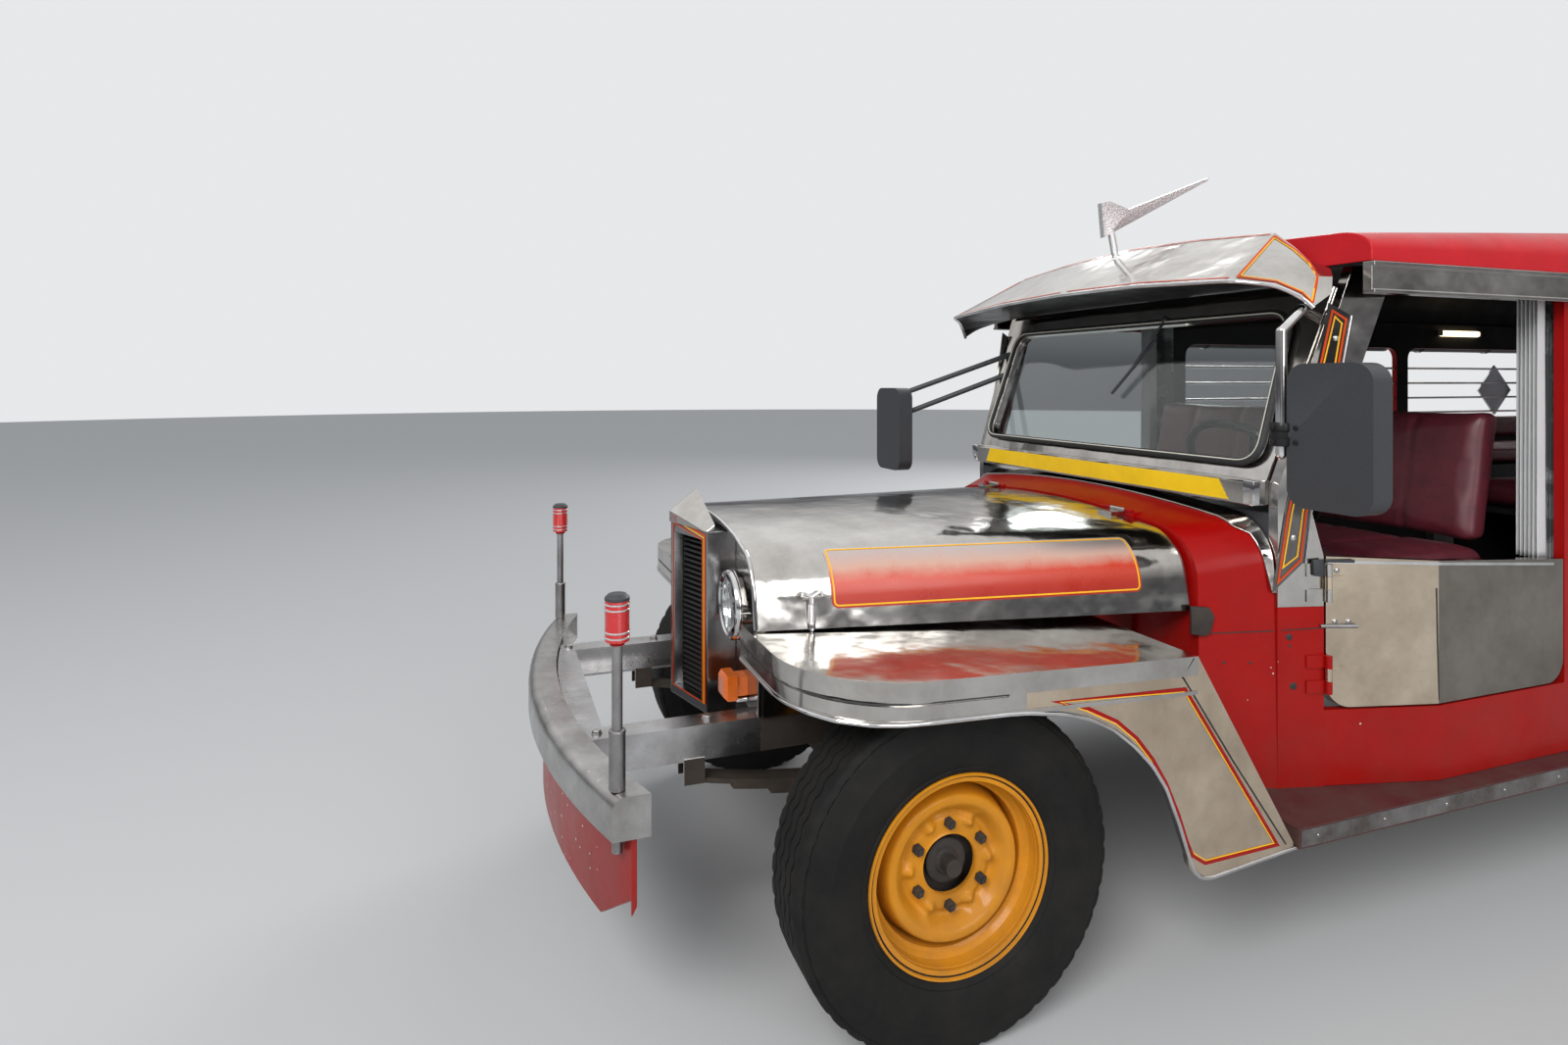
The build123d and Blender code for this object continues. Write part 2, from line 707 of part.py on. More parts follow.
# Painted valance under the bumper, with its ends cut up at a slant
valance_face = bow_face(front_overhang - valance_back, bumper_half_width - 10, sheet)
valance = extrude(Plane.XY.offset(valance_bottom) * valance_face, bumper_low - seat_gap - valance_bottom,
                  dir=(0, 0, 1))
cut_width = 150.0
cut_height = 110.0
for side in (-1, 1):
    cut_outer = side * (bumper_half_width + 10)
    cut_inner = side * (bumper_half_width - cut_width)
    corner = [(cut_inner, valance_bottom - 1), (cut_outer, valance_bottom - 1),
              (cut_outer, valance_bottom + cut_height)]
    valance -= end_prism(corner, front_overhang - 2 * bumper_bow - valance_back, front_overhang)
for side in (-1, 1):
    wing_root = front_overhang - valance_back - bumper_bow
    wing = [(wing_root, valance_bottom + 60), (wing_root, bumper_low - seat_gap),
            (wing_root - 120, bumper_low - seat_gap), (wing_root - 60, valance_bottom + 170)]
    y = side * (bumper_half_width - 10)
    valance += side_prism(wing, min(y, y - side * sheet), max(y, y - side * sheet))
save("bumper_valance", valance)


# Grille: a prow of two swept faces, with louvres set in a painted border
def prow_plan(inset, back):
    """Plan of the prow, moved back by an inset, down to a straight back edge."""
    half = grille_half_width - inset
    drop = inset * 1.04
    side_x = grille_side_x - drop
    return [(back, -half), (side_x, -half), (grille_prow - drop, 0), (side_x, half), (back, half)]


def gable(shape):
    """Trim a prow-shaped prism to the gable over it."""
    half = grille_half_width + cap_overhang
    for side in (-1, 1):
        front = Vector(grille_prow + cap_overhang, 0, grille_prow_top)
        corner = Vector(grille_side_x + cap_overhang, side * half, grille_side_top)
        peak = Vector(cap_peak_x, 0, cap_peak_z)
        normal = (corner - front).cross(peak - front).normalized()
        if normal.Z < 0:
            normal = normal * -1
        shape = split(shape, bisect_by=Plane(origin=front, z_dir=normal), keep=Keep.BOTTOM)
    return shape


window_low = grille_bottom + grille_border
window_high = grille_side_top - grille_border
window_half = grille_half_width - grille_border
prow_bar_half = 18.0
grille = plan_prism(prow_plan(0, nose_x + seat_gap), grille_bottom, grille_side_top)
grille -= plan_prism(prow_plan(grille_border, nose_x - 1), window_low, window_high)
for side in (-1, 1):
    y0, y1 = sorted((side * prow_bar_half, side * window_half))
    grille -= box(nose_x - 1, grille_prow + 10, y0, y1, window_low, window_high)
save("grille_frame", grille)

cap_half = grille_half_width + cap_overhang
cap_back_x = cap_peak_x - 12.0
cap_plan = [
    (cap_back_x, -cap_half), (grille_side_x + cap_overhang, -cap_half), (grille_prow + cap_overhang, 0),
    (grille_side_x + cap_overhang, cap_half), (cap_back_x, cap_half),
]
save("grille_cap", gable(plan_prism(cap_plan, grille_side_top + seat_gap, cap_peak_z + 40)))

louvre_low = window_low + 6
louvre_high = window_high - 6
louvre_pitch = (louvre_high - louvre_low) / (louvre_count - 1)
blade_front = prow_plan(grille_border + seat_gap, 0)[1:4]
blade_depth = 22.0
blade_back = [(x - blade_depth, y) for x, y in reversed(blade_front)]
louvres = None
for index in range(louvre_count):
    z = louvre_low + index * louvre_pitch
    blade = plan_prism(blade_front + blade_back, z - louvre_thickness / 2, z + louvre_thickness / 2)
    louvres = blade if louvres is None else louvres + blade
spine_low = window_low + seat_gap
spine_high = window_high - seat_gap
spine_rows = [
    # x of the rear face, y of the middle, half width
    (blade_front[1][0] - blade_depth - 12, 0.0, 9.0),
    (blade_front[0][0] - blade_depth - 9, window_half - seat_gap - 8, 8.0),
    (blade_front[0][0] - blade_depth - 9, 8 + seat_gap - window_half, 8.0),
]
for x, y, half in spine_rows:
    louvres += box(x, x + blade_depth, y - half, y + half, spine_low, spine_high)
save("grille_louvres", louvres)

# Nose panel inside the hood's front opening, with the lamps on it
nose_clear = sheet + panel_gap
nose_half = hood_half_at(nose_x, hood_front_half, hood_rear_half)
nose_top = hood_half_at(nose_x, hood_front_top, hood_rear_top)
nose_bottom = hood_half_at(nose_x, hood_front_bottom, hood_rear_bottom)
nose = extrude(hood_section(nose_x, nose_half, nose_bottom, nose_top, nose_clear), sheet, dir=(-1, 0, 0))
nose_slot_half = grille_half_width - 12.0
nose += box(nose_x - sheet, nose_x, 2 - fender_inner, fender_inner - 2, rail_top + seat_gap, nose_bottom + 40)
nose -= box(nose_x - sheet - 1, nose_x + 1, -nose_slot_half, nose_slot_half, rail_top - 10, grille_side_top - 7)
lamp_back = 60.0
bucket_radius = headlamp_radius - 9.0
lens_hole_radius = headlamp_radius - 15.0


def lamp_drum(y, z, x0, x1, radius):
    """A round body that points forward."""
    return rod((x0, y, z), (x1, y, z), radius)


def front_rim(shape):
    """The foremost round edge of a lamp."""
    return shape.edges().filter_by(GeomType.CIRCLE).sort_by(Axis.X)[-1:]


for y in (-headlamp_y, headlamp_y):
    nose -= lamp_drum(y, headlamp_z, nose_x - 40, nose_x + 9, bucket_radius + 1)
save("nose_panel", nose)

bezel_front = nose_x + headlamp_depth
bezel = lamp_drum(headlamp_y, headlamp_z, nose_x + seat_gap, bezel_front, headlamp_radius)
bezel = chamfer(front_rim(bezel), 10)
bezel += lamp_drum(headlamp_y, headlamp_z, nose_x - lamp_back, nose_x + 5, bucket_radius)
bezel -= lamp_drum(headlamp_y, headlamp_z, nose_x - lamp_back + 6, bezel_front + 1, lens_hole_radius)
save("headlamps", pair(bezel))
lens_rise = 8.0
lens = lamp_drum(headlamp_y, headlamp_z, bezel_front - 14, bezel_front + lens_rise, lens_hole_radius - seat_gap)
lens = chamfer(front_rim(lens), lens_rise, 3 * lens_rise)
save("headlamp_lenses", pair(lens))

signal_base = 30.0
signal_reach = 66.0
signal_rows = [
    # x from and to, inset of the outline: foot, lens
    (nose_x + seat_gap, nose_x + signal_base, 8.0),
    (nose_x + signal_base, nose_x + signal_reach, 0.0),
]
signal = None
for x0, x1, inset in signal_rows:
    block = box(x0, x1, signal_y + inset - signal_half_width, signal_y + signal_half_width - inset,
                signal_z + inset - signal_half_height, signal_z + signal_half_height - inset)
    signal = block if signal is None else signal + block
front_face_edges = signal.faces().sort_by(Axis.X)[-1].edges()
signal = chamfer(front_face_edges, 10)
save("turn_signals", pair(signal))


# Front fenders: a flat top, a two-band lip round its outer edge and a skirt behind the wheel
def fender_plan(inset, inner, rear):
    """Plan of the fender's top, drawn in by an inset on its front and outer edges."""
    points = [(rear, inner), (fender_front_x - inset, inner), (fender_front_x - inset, fender_outer - inset),
              (rear, fender_outer - inset)]
    face = Polygon(*points, align=None)
    corner = face.vertices().sort_by(Axis.X)[-2:].sort_by(Axis.Y)[-1:]
    return fillet(corner, fender_corner - inset)


def fender_layer(outer_inset, inner_inset, top_drop, bottom_drop):
    """One ring of the lip between two depths below the fender's top."""
    ring = fender_plan(outer_inset, fender_inner, fender_rear_x)
    ring -= fender_plan(inner_inset, fender_inner - 50, fender_rear_x - 50)
    return extrude(Plane.XY.offset(-bottom_drop) * ring, bottom_drop - top_drop, dir=(0, 0, 1))


fender = extrude(Plane.XY.offset(-sheet) * fender_plan(0, fender_inner, fender_rear_x), sheet, dir=(0, 0, 1))
lip_layers = [
    # outer inset, inner inset, top drop, bottom drop
    (0, lip_sheet, 0, lip_upper_band),
    (6, lip_sheet, lip_upper_band, lip_upper_band + lip_seam),
    (2, lip_sheet, lip_upper_band + lip_seam, lip_depth - 9),
    (0, lip_sheet, lip_depth - 9, lip_depth),
]
for outer_inset, inner_inset, top_drop, bottom_drop in lip_layers:
    fender += fender_layer(outer_inset, inner_inset, top_drop, bottom_drop)
fender = Pos(0, 0, fender_top_at_axle) * Rot(0, -fender_slope, 0) * fender


def fender_z(x):
    """Height of the fender's top at x."""
    return fender_top_at_axle + x * tan(radians(fender_slope))


skirt_start_x = -60.0
skirt_top = (fender_rear_x, fender_z(fender_rear_x))
skirt_neck = (skirt_start_x, fender_z(skirt_start_x) - 10)
skirt_lip = (skirt_start_x, fender_z(skirt_start_x) - lip_depth)
skirt_bend = (-475.0, 555.0)
skirt_knee = (-540.0, 385.0)
skirt_foot = (skirt_foot_x - 12, skirt_foot_z)
skirt_heel = (skirt_heel_x, skirt_heel_z)
skirt_edges = [
    Line(skirt_top, skirt_neck),
    Line(skirt_neck, skirt_lip),
    ThreePointArc(skirt_lip, (-330, 706), skirt_bend),
    Line(skirt_bend, skirt_knee),
    ThreePointArc(skirt_knee, (-563, 334), skirt_foot),
    Line(skirt_foot, skirt_heel),
    Line(skirt_heel, skirt_top),
]
skirt_plane = Plane(origin=(0, fender_outer - 2, 0), x_dir=(1, 0, 0), z_dir=(0, -1, 0))
fender += extrude(skirt_plane * make_face(skirt_edges), lip_sheet - 2, dir=(0, -1, 0))
splash = [
    skirt_top, (fender_rear_x + sheet, skirt_top[1]), (skirt_heel_x + sheet, skirt_heel_z), skirt_heel,
]
fender += side_prism(splash, flare_y(skirt_heel_x) + seat_gap, fender_outer - 2)
apron = [(nose_x - sheet - 1, rail_top + seat_gap), (nose_x - sheet - 1, fender_z(nose_x - sheet) - 2),
         (fender_rear_x, fender_z(fender_rear_x) - 2), (cowl_front_x + 12, fender_z(fender_rear_x) - 2),
         (cowl_front_x + 12, rail_top + seat_gap)]
fender += side_prism(apron, fender_inner - sheet, fender_inner)
save("front_fenders", pair(fender))


# Cowl: firewall, rounded top and flared sides, down to the running board
def cowl_solid(inset, front_x, rear_x, bottom):
    sections = []
    for x in (front_x, rear_x):
        share = (cowl_front_x - x) / (cowl_front_x - cowl_rear_x)
        half = cowl_front_half + share * (cowl_rear_half - cowl_front_half)
        top = cowl_front_top + share * (cowl_rear_top - cowl_front_top)
        sections.append(hood_section(x, half, bottom, top, inset))
    return loft(sections)


cowl = cowl_solid(0, cowl_front_x, cowl_rear_x, body_bottom)
cowl -= cowl_solid(wall, cowl_front_x - sheet, cowl_rear_x - 40, body_bottom - 40)
slot_half = rail_outer + 8
cowl -= box(cowl_front_x - sheet - 1, cowl_front_x + 1, -slot_half, slot_half, body_bottom - 1, floor_z)
lower_side = side_band(cowl_rear_x, door_front_x + panel_gap, body_bottom, side_seam_z)
cowl += lower_side + other_side(lower_side)
door_hinge_x = door_front_x + panel_gap / 2
door_hinge_y = flare_y(door_front_x) + hinge_radius + 1.0
hinge_rows = (690.0, 935.0)
knuckle_height = 34.0
leaf_length = 55.0


def hinge_knuckle(low, direction):
    """One barrel of a door hinge, with its leaf forward or rearward over the body's skin."""
    high = low + knuckle_height - seat_gap
    barrel = rod((door_hinge_x, door_hinge_y, low), (door_hinge_x, door_hinge_y, high), hinge_radius)
    x0, x1 = sorted((door_hinge_x, door_hinge_x + direction * leaf_length))
    leaf = box(x0, x1, door_hinge_y - 26, door_hinge_y + 10, low, high)
    return barrel + (leaf & side_band(x1 + 5, x0 - 5, low, high, 20, 5))


hinges = None
for z in hinge_rows:
    for low in (z - 1.5 * knuckle_height, z + 0.5 * knuckle_height):
        barrel = hinge_knuckle(low, 1)
        hinges = barrel if hinges is None else hinges + barrel
low_hinge = hinges.solids().filter_by_position(Axis.Z, 0, side_seam_z)
high_hinge = hinges.solids().filter_by_position(Axis.Z, side_seam_z, door_top_front)
outer_knuckle = 32.0
for side in (-1, 1):
    y = side * hood_hinge_y
    for low in (y - hood_hinge_half - outer_knuckle, y + hood_hinge_half + seat_gap):
        high = low + outer_knuckle - seat_gap
        cowl += cross_rod(hood_hinge_x, hood_hinge_z, low, high, hood_hinge_radius)
        leaf_end = cowl_front_x - hood_hinge_leaf
        cowl += box(hood_hinge_x, leaf_end, low, high, hood_rear_top - 26, hood_hinge_z - 4)
for solid in low_hinge:
    cowl += solid + other_side(solid)
save("cowl", cowl)

# Windshield: a leaning steel frame with its ledge, and an apron strapped over the cowl
rake = degrees(atan2(glass_low_x - glass_high_x, glass_high_z - glass_low_z))
slope_length = (glass_high_z - glass_low_z) / cos(radians(rake))
shield_plane = Plane(origin=(glass_low_x, 0, glass_low_z), x_dir=(0, 1, 0),
                     z_dir=(cos(radians(rake)), 0, sin(radians(rake))))


def glass_face(margin):
    """Rounded outline of the glass in the leaning plane, larger by a margin."""
    low = glass_low_half + margin
    high = glass_high_half + margin
    top = slope_length + margin
    outline = Polygon((-low, -margin), (low, -margin), (high, top), (-high, top), align=None)
    return fillet(outline.vertices(), glass_corner)


def shield_corner(height):
    """Left edge of the steel frame at a height up the slope, seated against the corner post."""
    x = glass_low_x - height * sin(radians(rake))
    return (flare_y(x) - wall - seat_gap, height)


frame_thickness = 36.0
shield_low = shield_corner(-80)
shield_high = shield_corner(slope_length + 72)
shield_outline = Polygon((-shield_low[0], shield_low[1]), shield_low, shield_high,
                         (-shield_high[0], shield_high[1]), align=None)
shield = extrude(shield_plane * shield_outline, frame_thickness, dir=-shield_plane.z_dir)
shield -= extrude(shield_plane.offset(1) * glass_face(0), frame_thickness + 2, dir=-shield_plane.z_dir)
ledge_top = 1200.0
ledge_bottom = cowl_rear_top + seat_gap
ledge_front_x = glass_low_x + 62
ledge = [(ledge_front_x, ledge_bottom), (ledge_front_x, ledge_top), (glass_low_x - 4, ledge_top + 6),
         (glass_low_x - 4, ledge_bottom)]
ledge_half = flare_y(cowl_rear_x) - wall - seat_gap
shield += side_prism(ledge, -ledge_half, ledge_half)
apron_band = cowl_solid(-5, apron_front_x, cowl_rear_x + 4, apron_tip_z)
apron_band -= cowl_solid(-seat_gap, apron_front_x + 20, cowl_rear_x - 20, apron_tip_z - 20)
apron_bend_z = 1060.0
apron_cut = [
    (apron_front_x + 30, apron_tip_z - 30), (apron_front_x + 30, apron_bend_z + 35),
    (apron_front_x - 22, apron_bend_z), (cowl_rear_x + 12, apron_tip_z - 30),
]
shield += apron_band - side_prism(apron_cut, -body_half, body_half)
save("windshield_frame", shield)
pane_face = shield_plane.offset(-frame_thickness / 2) * glass_face(-seat_gap)
save("windshield_glass", extrude(pane_face, glass_thickness, dir=shield_plane.z_dir))

# Corner posts beside the windshield, leaning with it, and the small panel down to the cowl's seam
rake_run = tan(radians(rake))
post_front_low_x = cowl_rear_x - seat_gap
post_points = [
    (post_front_low_x, side_seam_z + seat_gap),
    (door_front_x + panel_gap, side_seam_z + seat_gap),
    (door_front_x + panel_gap, door_top_front),
    (post_front_low_x - post_width, post_low_z),
    (post_front_low_x - post_width - (roof_rim_z - post_low_z) * rake_run, roof_rim_z - seat_gap),
    (post_front_low_x - (roof_rim_z - 1190) * rake_run, roof_rim_z - seat_gap),
    (post_front_low_x, 1190),
]
post = side_prism(post_points, 600, 900) & side_band(post_front_low_x, post_front_low_x - 400, 800, 1900)
for solid in high_hinge:
    post += solid
save("corner_posts", pair(post))

# Half doors: pressed steel with the body's crease, hung on their front edge
door_band = side_band(door_front_x, door_rear_x, door_bottom, door_top_front)
door_outline = Polygon((door_front_x, door_bottom), (door_front_x, door_top_front),
                       (door_rear_x, door_top_rear), (door_rear_x, door_bottom), align=None)
low_corners = door_outline.vertices().sort_by(Axis.Y)[:2]
door_plane = Plane(origin=(0, 950, 0), x_dir=(1, 0, 0), z_dir=(0, -1, 0))
door = door_band & extrude(door_plane * fillet(low_corners, door_corner), 400, dir=(0, -1, 0))
for z in hinge_rows:
    door += hinge_knuckle(z - 0.5 * knuckle_height, -1)
save("left_door", door)
save("right_door", other_side(door))

# Body sides: the sill under the door, the door's header and rear jamb, the window bays
side_front_x = door_front_x + panel_gap - seat_gap
sill = side_band(side_front_x, door_rear_x - panel_gap, body_bottom + seat_gap, door_bottom - panel_gap)
quarter = side_band(door_rear_x - panel_gap, body_rear_x, body_bottom + seat_gap, roof_rim_z - seat_gap)
header_x = post_points[4][0] - seat_gap
header = side_band(header_x, door_rear_x - panel_gap, fascia_bottom + 8, roof_rim_z - seat_gap)
body_side = sill + quarter + header
bays = []
for index in range(bay_count):
    bay_front = first_bay_x - index * (bay_length + bay_post)
    bays.append((bay_front, bay_front - bay_length))
    opening = RectangleRounded(bay_length, window_head - window_sill, window_corner)
    centre = (bay_front - bay_length / 2, body_half + 10, (window_head + window_sill) / 2)
    plane = Plane(origin=centre, x_dir=(1, 0, 0), z_dir=(0, -1, 0))
    body_side -= extrude(plane * opening, wall + 20, dir=(0, -1, 0))
arch_inner = body_half - wall - 10
arch_outer = body_half + 20
for z in (floor_top + 40, window_sill - 55):
    body_side += box(door_rear_x - panel_gap - 40, body_rear_x, body_half - 1, body_half + 8, z, z + 26)
body_side -= cross_rod(rear_axle_x, axle_z, arch_inner, arch_outer, arch_radius)
body_side -= box(rear_axle_x - arch_radius, rear_axle_x + arch_radius, arch_inner, arch_outer,
                 body_bottom - 10, axle_z)
save("body_sides", pair(body_side))

# Window rods with a diamond plate in the middle of each bay
rod_y = body_half - wall / 2
first_rod_z = window_sill + window_corner + rod_radius
rod_pitch = 80.0
rods = None
for front, rear in bays:
    for index in range(rod_count):
        z = first_rod_z + index * rod_pitch
        bar = rod((front - seat_gap, rod_y, z), (rear + seat_gap, rod_y, z), rod_radius)
        rods = bar if rods is None else rods + bar
    middle_z = first_rod_z + rod_pitch * (rod_count - 1) / 2
    middle_x = (front + rear) / 2
    reach = rod_pitch * rod_count * 0.44
    diamond = [(middle_x - reach, middle_z), (middle_x, middle_z - reach),
               (middle_x + reach, middle_z), (middle_x, middle_z + reach)]
    rods += side_prism(diamond, rod_y - 4, rod_y + 4)
save("window_rails", pair(rods))

# Rear end: two corner panels beside the entry and a header over it
rear_top = roof_rim_z - seat_gap
rear_margin = 70.0
rear_face_x = body_rear_x - wall - seat_gap
corner_points = [
    (entry_half, floor_z), (body_half, floor_z), (body_half, rear_top), (-body_half, rear_top),
    (-body_half, floor_z), (-entry_half, floor_z), (-entry_half, entry_head), (entry_half, entry_head),
]
rear_frame = end_prism(corner_points, rear_face_x, body_rear_x - seat_gap)
for side in (-1, 1):
    y0, y1 = sorted((side * (entry_half + rear_margin), side * (body_half - rear_margin)))
    rear_frame -= box(rear_face_x - 10, body_rear_x + 10, y0, y1, window_sill, window_head - 20)
save("rear_frame", rear_frame)

# Floor with boxes over the rear wheels
floor = box(cowl_front_x - wall - 60, body_rear_x, -body_half, body_half, floor_z, floor_top)
trim_left = [
    (cowl_front_x, flare_y(cowl_front_x, wall + 11)), (cowl_rear_x, flare_y(cowl_rear_x, wall + 11)),
    (crease_x, flare_y(crease_x, wall + 2)), (body_rear_x, body_half - wall - 2),
]
trim_right = [(x, -y) for x, y in reversed(trim_left)]
cab_trim = plan_prism(trim_left + trim_right, floor_z - 1, floor_top + 1)
floor = floor & cab_trim
wheel_box_inner = rear_inner_tyre_y - tyre_width / 2 - 14
wheel_box_half = tyre_radius + 50
wheel_box_top = axle_z + wheel_box_half


def wheel_box(side, skin, outer, bottom):
    """A block over the rear wheels of one side, larger by a skin."""
    y0, y1 = sorted((side * (wheel_box_inner - skin), side * outer))
    reach = wheel_box_half + skin
    return box(rear_axle_x - reach, rear_axle_x + reach, y0, y1, bottom, wheel_box_top + skin)


for side in (-1, 1):
    floor += wheel_box(side, sheet, body_half - wall - 2, floor_z)
    floor -= wheel_box(side, 0, body_half + 10, 0)
save("floor_pan", floor)

# Longitudinal benches over the wheel boxes, with padded seats and backs
bench_front_x = first_bay_x + 40
bench_rear_x = body_rear_x + 60
bench_outer = body_half - wall - 3
bench_inner = bench_outer + 1 - bench_depth
bench_top = floor_top + bench_height
bench_sheet = 16.0
pad_top = bench_top + cushion_thickness
back_top = window_sill + 60
back_thickness = 62.0
pad_edge = 22.0


def rounded_top(shape, axis, radius):
    """A pad with its top edges along an axis rounded."""
    return fillet(shape.edges().filter_by(axis).group_by(Axis.Z)[-1], radius)


base = box(bench_rear_x, bench_front_x, bench_inner, bench_inner + bench_sheet, floor_top + seat_gap, bench_top)
base += box(bench_rear_x, bench_front_x, bench_inner, bench_outer, bench_top - bench_sheet, bench_top)
base -= wheel_box(1, sheet + seat_gap, body_half, floor_z)
pad_ends = (bench_rear_x + 5, bench_front_x - 5)
pad = box(*pad_ends, bench_inner - 10, bench_outer - 1, bench_top + seat_gap, pad_top)
pad = rounded_top(pad, Axis.X, pad_edge)
back_inner = body_half - wall - back_thickness
back = box(*pad_ends, back_inner, body_half - wall - seat_gap, pad_top + 2, back_top)
back = rounded_top(back, Axis.X, pad_edge)

# Front seat across the cab
seat_front_x = -1480.0
seat_rear_x = -1960.0
seat_half = body_half - 145.0
seat_base_top = floor_top + 200
seat_cushion_top = seat_base_top + 110
seat_back_height = 430.0
seat_back_lean = 100.0
seat_wall = 20.0
base_half = seat_half - 30.0
inner_half = base_half - seat_wall
seat_base = box(seat_rear_x, seat_front_x, -base_half, base_half, floor_top + seat_gap, seat_base_top)
seat_base -= box(seat_rear_x - 1, seat_front_x - seat_wall, -inner_half, inner_half, floor_top - 1,
                 seat_base_top - seat_wall)
save("seat_bases", group(pair(base), seat_base))
cushion = box(seat_rear_x, seat_front_x + 20, -seat_half, seat_half, seat_base_top + seat_gap, seat_cushion_top)
cushion = rounded_top(cushion, Axis.Y, 35)
back_low = seat_cushion_top + seat_gap
back_high = back_low + seat_back_height
seat_back = side_prism([(seat_rear_x, back_low), (seat_rear_x + 110, back_low),
                        (seat_rear_x + 110 - seat_back_lean, back_high),
                        (seat_rear_x + 30 - seat_back_lean, back_high)], -seat_half, seat_half)
seat_back = rounded_top(seat_back, Axis.Y, 30)
save("seat_pads", group(pair(group(pad, back)), cushion, seat_back))

# Dashboard, steering column and steering wheel
wheel_y = 380.0
wheel_centre = Vector(-1300.0, wheel_y, 1180.0)
column_tilt = 38.0
column_axis = Vector(-cos(radians(column_tilt)), 0, sin(radians(column_tilt)))
dash_rear_x = cowl_rear_x - 130
dash_front_x = cowl_rear_x - 1.0
dash_low = 985.0
dash_top = 1118.0
dash_half = flare_y(dash_front_x) - wall - seat_gap
dash = side_prism([(dash_front_x, dash_low), (dash_front_x, dash_top), (dash_rear_x + 20, dash_top),
                   (dash_rear_x, dash_top - 28), (dash_rear_x, dash_low)], -dash_half, dash_half)
column_length = 560.0
hub_drop = 32.0
column_foot = wheel_centre - column_axis * column_length
column_head = wheel_centre - column_axis * hub_drop
dash += rod(tuple(column_foot), tuple(column_head), 24)
save("dashboard", dash)
rim_plane = Plane(origin=wheel_centre, z_dir=column_axis)
grip_circle = 205.0
grip_radius = 13.0
spoke_count = 3
grip_plane = Plane(origin=wheel_centre, x_dir=rim_plane.x_dir, z_dir=rim_plane.y_dir)
grip_face = grip_plane * Pos(grip_circle, 0) * RegularPolygon(grip_radius, 8)
steering_wheel = revolve(grip_face, Axis(tuple(wheel_centre), tuple(column_axis)), full_turn)
hub_base = wheel_centre - column_axis * (hub_drop - seat_gap)
steering_wheel += rod(tuple(hub_base), tuple(wheel_centre + column_axis * 12), 40)
for index in range(spoke_count):
    angle = radians(90 + index * full_turn / spoke_count)
    spoke = rim_plane.from_local_coords(Vector(grip_circle * cos(angle), grip_circle * sin(angle), 0))
    steering_wheel += rod(tuple(wheel_centre), tuple(spoke), 9)
save("steering_wheel", steering_wheel)


# Roof: a crowned shell with rounded shoulders, and a polished band round its rim
def roof_section(x, inset, bottom):
    half = roof_half - inset
    knee = (half, roof_shoulder_z)
    corner = (half - 32, roof_shoulder_z + 76 - inset * 0.6)
    top_edge = (half - 112, roof_crown - 42 - inset)
    left_knee, left_corner, left_edge = [(-y, z) for y, z in (knee, corner, top_edge)]
    edges = [
        Line((-half, bottom), left_knee),
        ThreePointArc(left_knee, left_corner, left_edge),
        ThreePointArc(left_edge, (0, roof_crown - inset), top_edge),
        ThreePointArc(top_edge, corner, knee),
        Line(knee, (half, bottom)),
        Line((half, bottom), (-half, bottom)),
    ]
    return end_plane(x) * make_face(edges)


roof_rear_x = rear_face_x
roof_length = roof_front_x - roof_rear_x
roof = extrude(roof_section(roof_front_x, 0, roof_rim_z), roof_length, dir=(-1, 0, 0))
roof -= extrude(roof_section(roof_front_x - roof_wall, roof_wall, roof_rim_z - 1), roof_length - 2 * roof_wall,
                dir=(-1, 0, 0))
save("roof_shell", roof)
fascia_inner = body_half + seat_gap
fascia_top = roof_rim_z - seat_gap
fascia_rows = [
    # outer y, low z, high z of the band and of the bead along each edge
    (roof_half, fascia_bottom, fascia_top),
    (roof_half + 7, fascia_bottom, fascia_bottom + 10),
    (roof_half + 7, fascia_top - 12, fascia_top),
]
fascia = None
for outer, low, high in fascia_rows:
    strip = box(roof_rear_x, roof_front_x, fascia_inner, outer, low, high)
    fascia = strip if fascia is None else fascia + strip
save("roof_fascia", pair(fascia))


# Visor: a wedge over the windshield with an arched lip. Sections run across the vehicle.
visor_low = fascia_bottom + 40.0
visor_end_ridge = visor_lip_end_z + 70.0


def visor_section(y, lip_z, ridge_z):
    points = [(visor_lip_x, lip_z), (visor_ridge_x, ridge_z), (visor_ridge_x, visor_low)]
    plane = Plane(origin=(0, y, 0), x_dir=(1, 0, 0), z_dir=(0, -1, 0))
    return plane * Polygon(*points, align=None)


visor_rows = [
    # y, lip height, ridge height
    (-visor_half, visor_lip_end_z, visor_end_ridge),
    (-visor_shoulder_y, visor_lip_z - 12, visor_ridge_end_z),
    (0, visor_lip_z, visor_ridge_z),
    (visor_shoulder_y, visor_lip_z - 12, visor_ridge_end_z),
    (visor_half, visor_lip_end_z, visor_end_ridge),
]
visor = loft([visor_section(*row) for row in visor_rows], ruled=True)
neck_half = visor_half - 20.0
visor += box(visor_ridge_x, roof_front_x + seat_gap, -neck_half, neck_half, visor_low, visor_end_ridge + 10)
save("visor", visor)

# Ornament on the visor: a swept-up fin on a short post
fin_points = [
    # x, z from the chin up the three-cornered head, along the back to the tip, and home
    (-1044, 1972), (-1032, 2090), (-1070, 2098), (-1150, 2076), (-1512, 2216), (-1506, 2204),
]
fin_half = 10.0
fin_post_x = visor_ridge_x + 40.0
ornament = side_prism(fin_points, -fin_half, fin_half)
fin_post = rod((fin_post_x, 0, visor_ridge_z - 80), (fin_post_x + 30, 0, visor_ridge_z + 60), fin_half + 2)
ornament += fin_post - visor
save("visor_ornament", ornament)

# Mirrors on tube brackets
head_width = 220.0
head_height = 355.0
head_depth = 62.0


def mirror_head(x, y, z):
    head = Pos(x, y, z) * Box(head_depth, head_width, head_height)
    return fillet(head.edges().filter_by(Axis.X), 48)


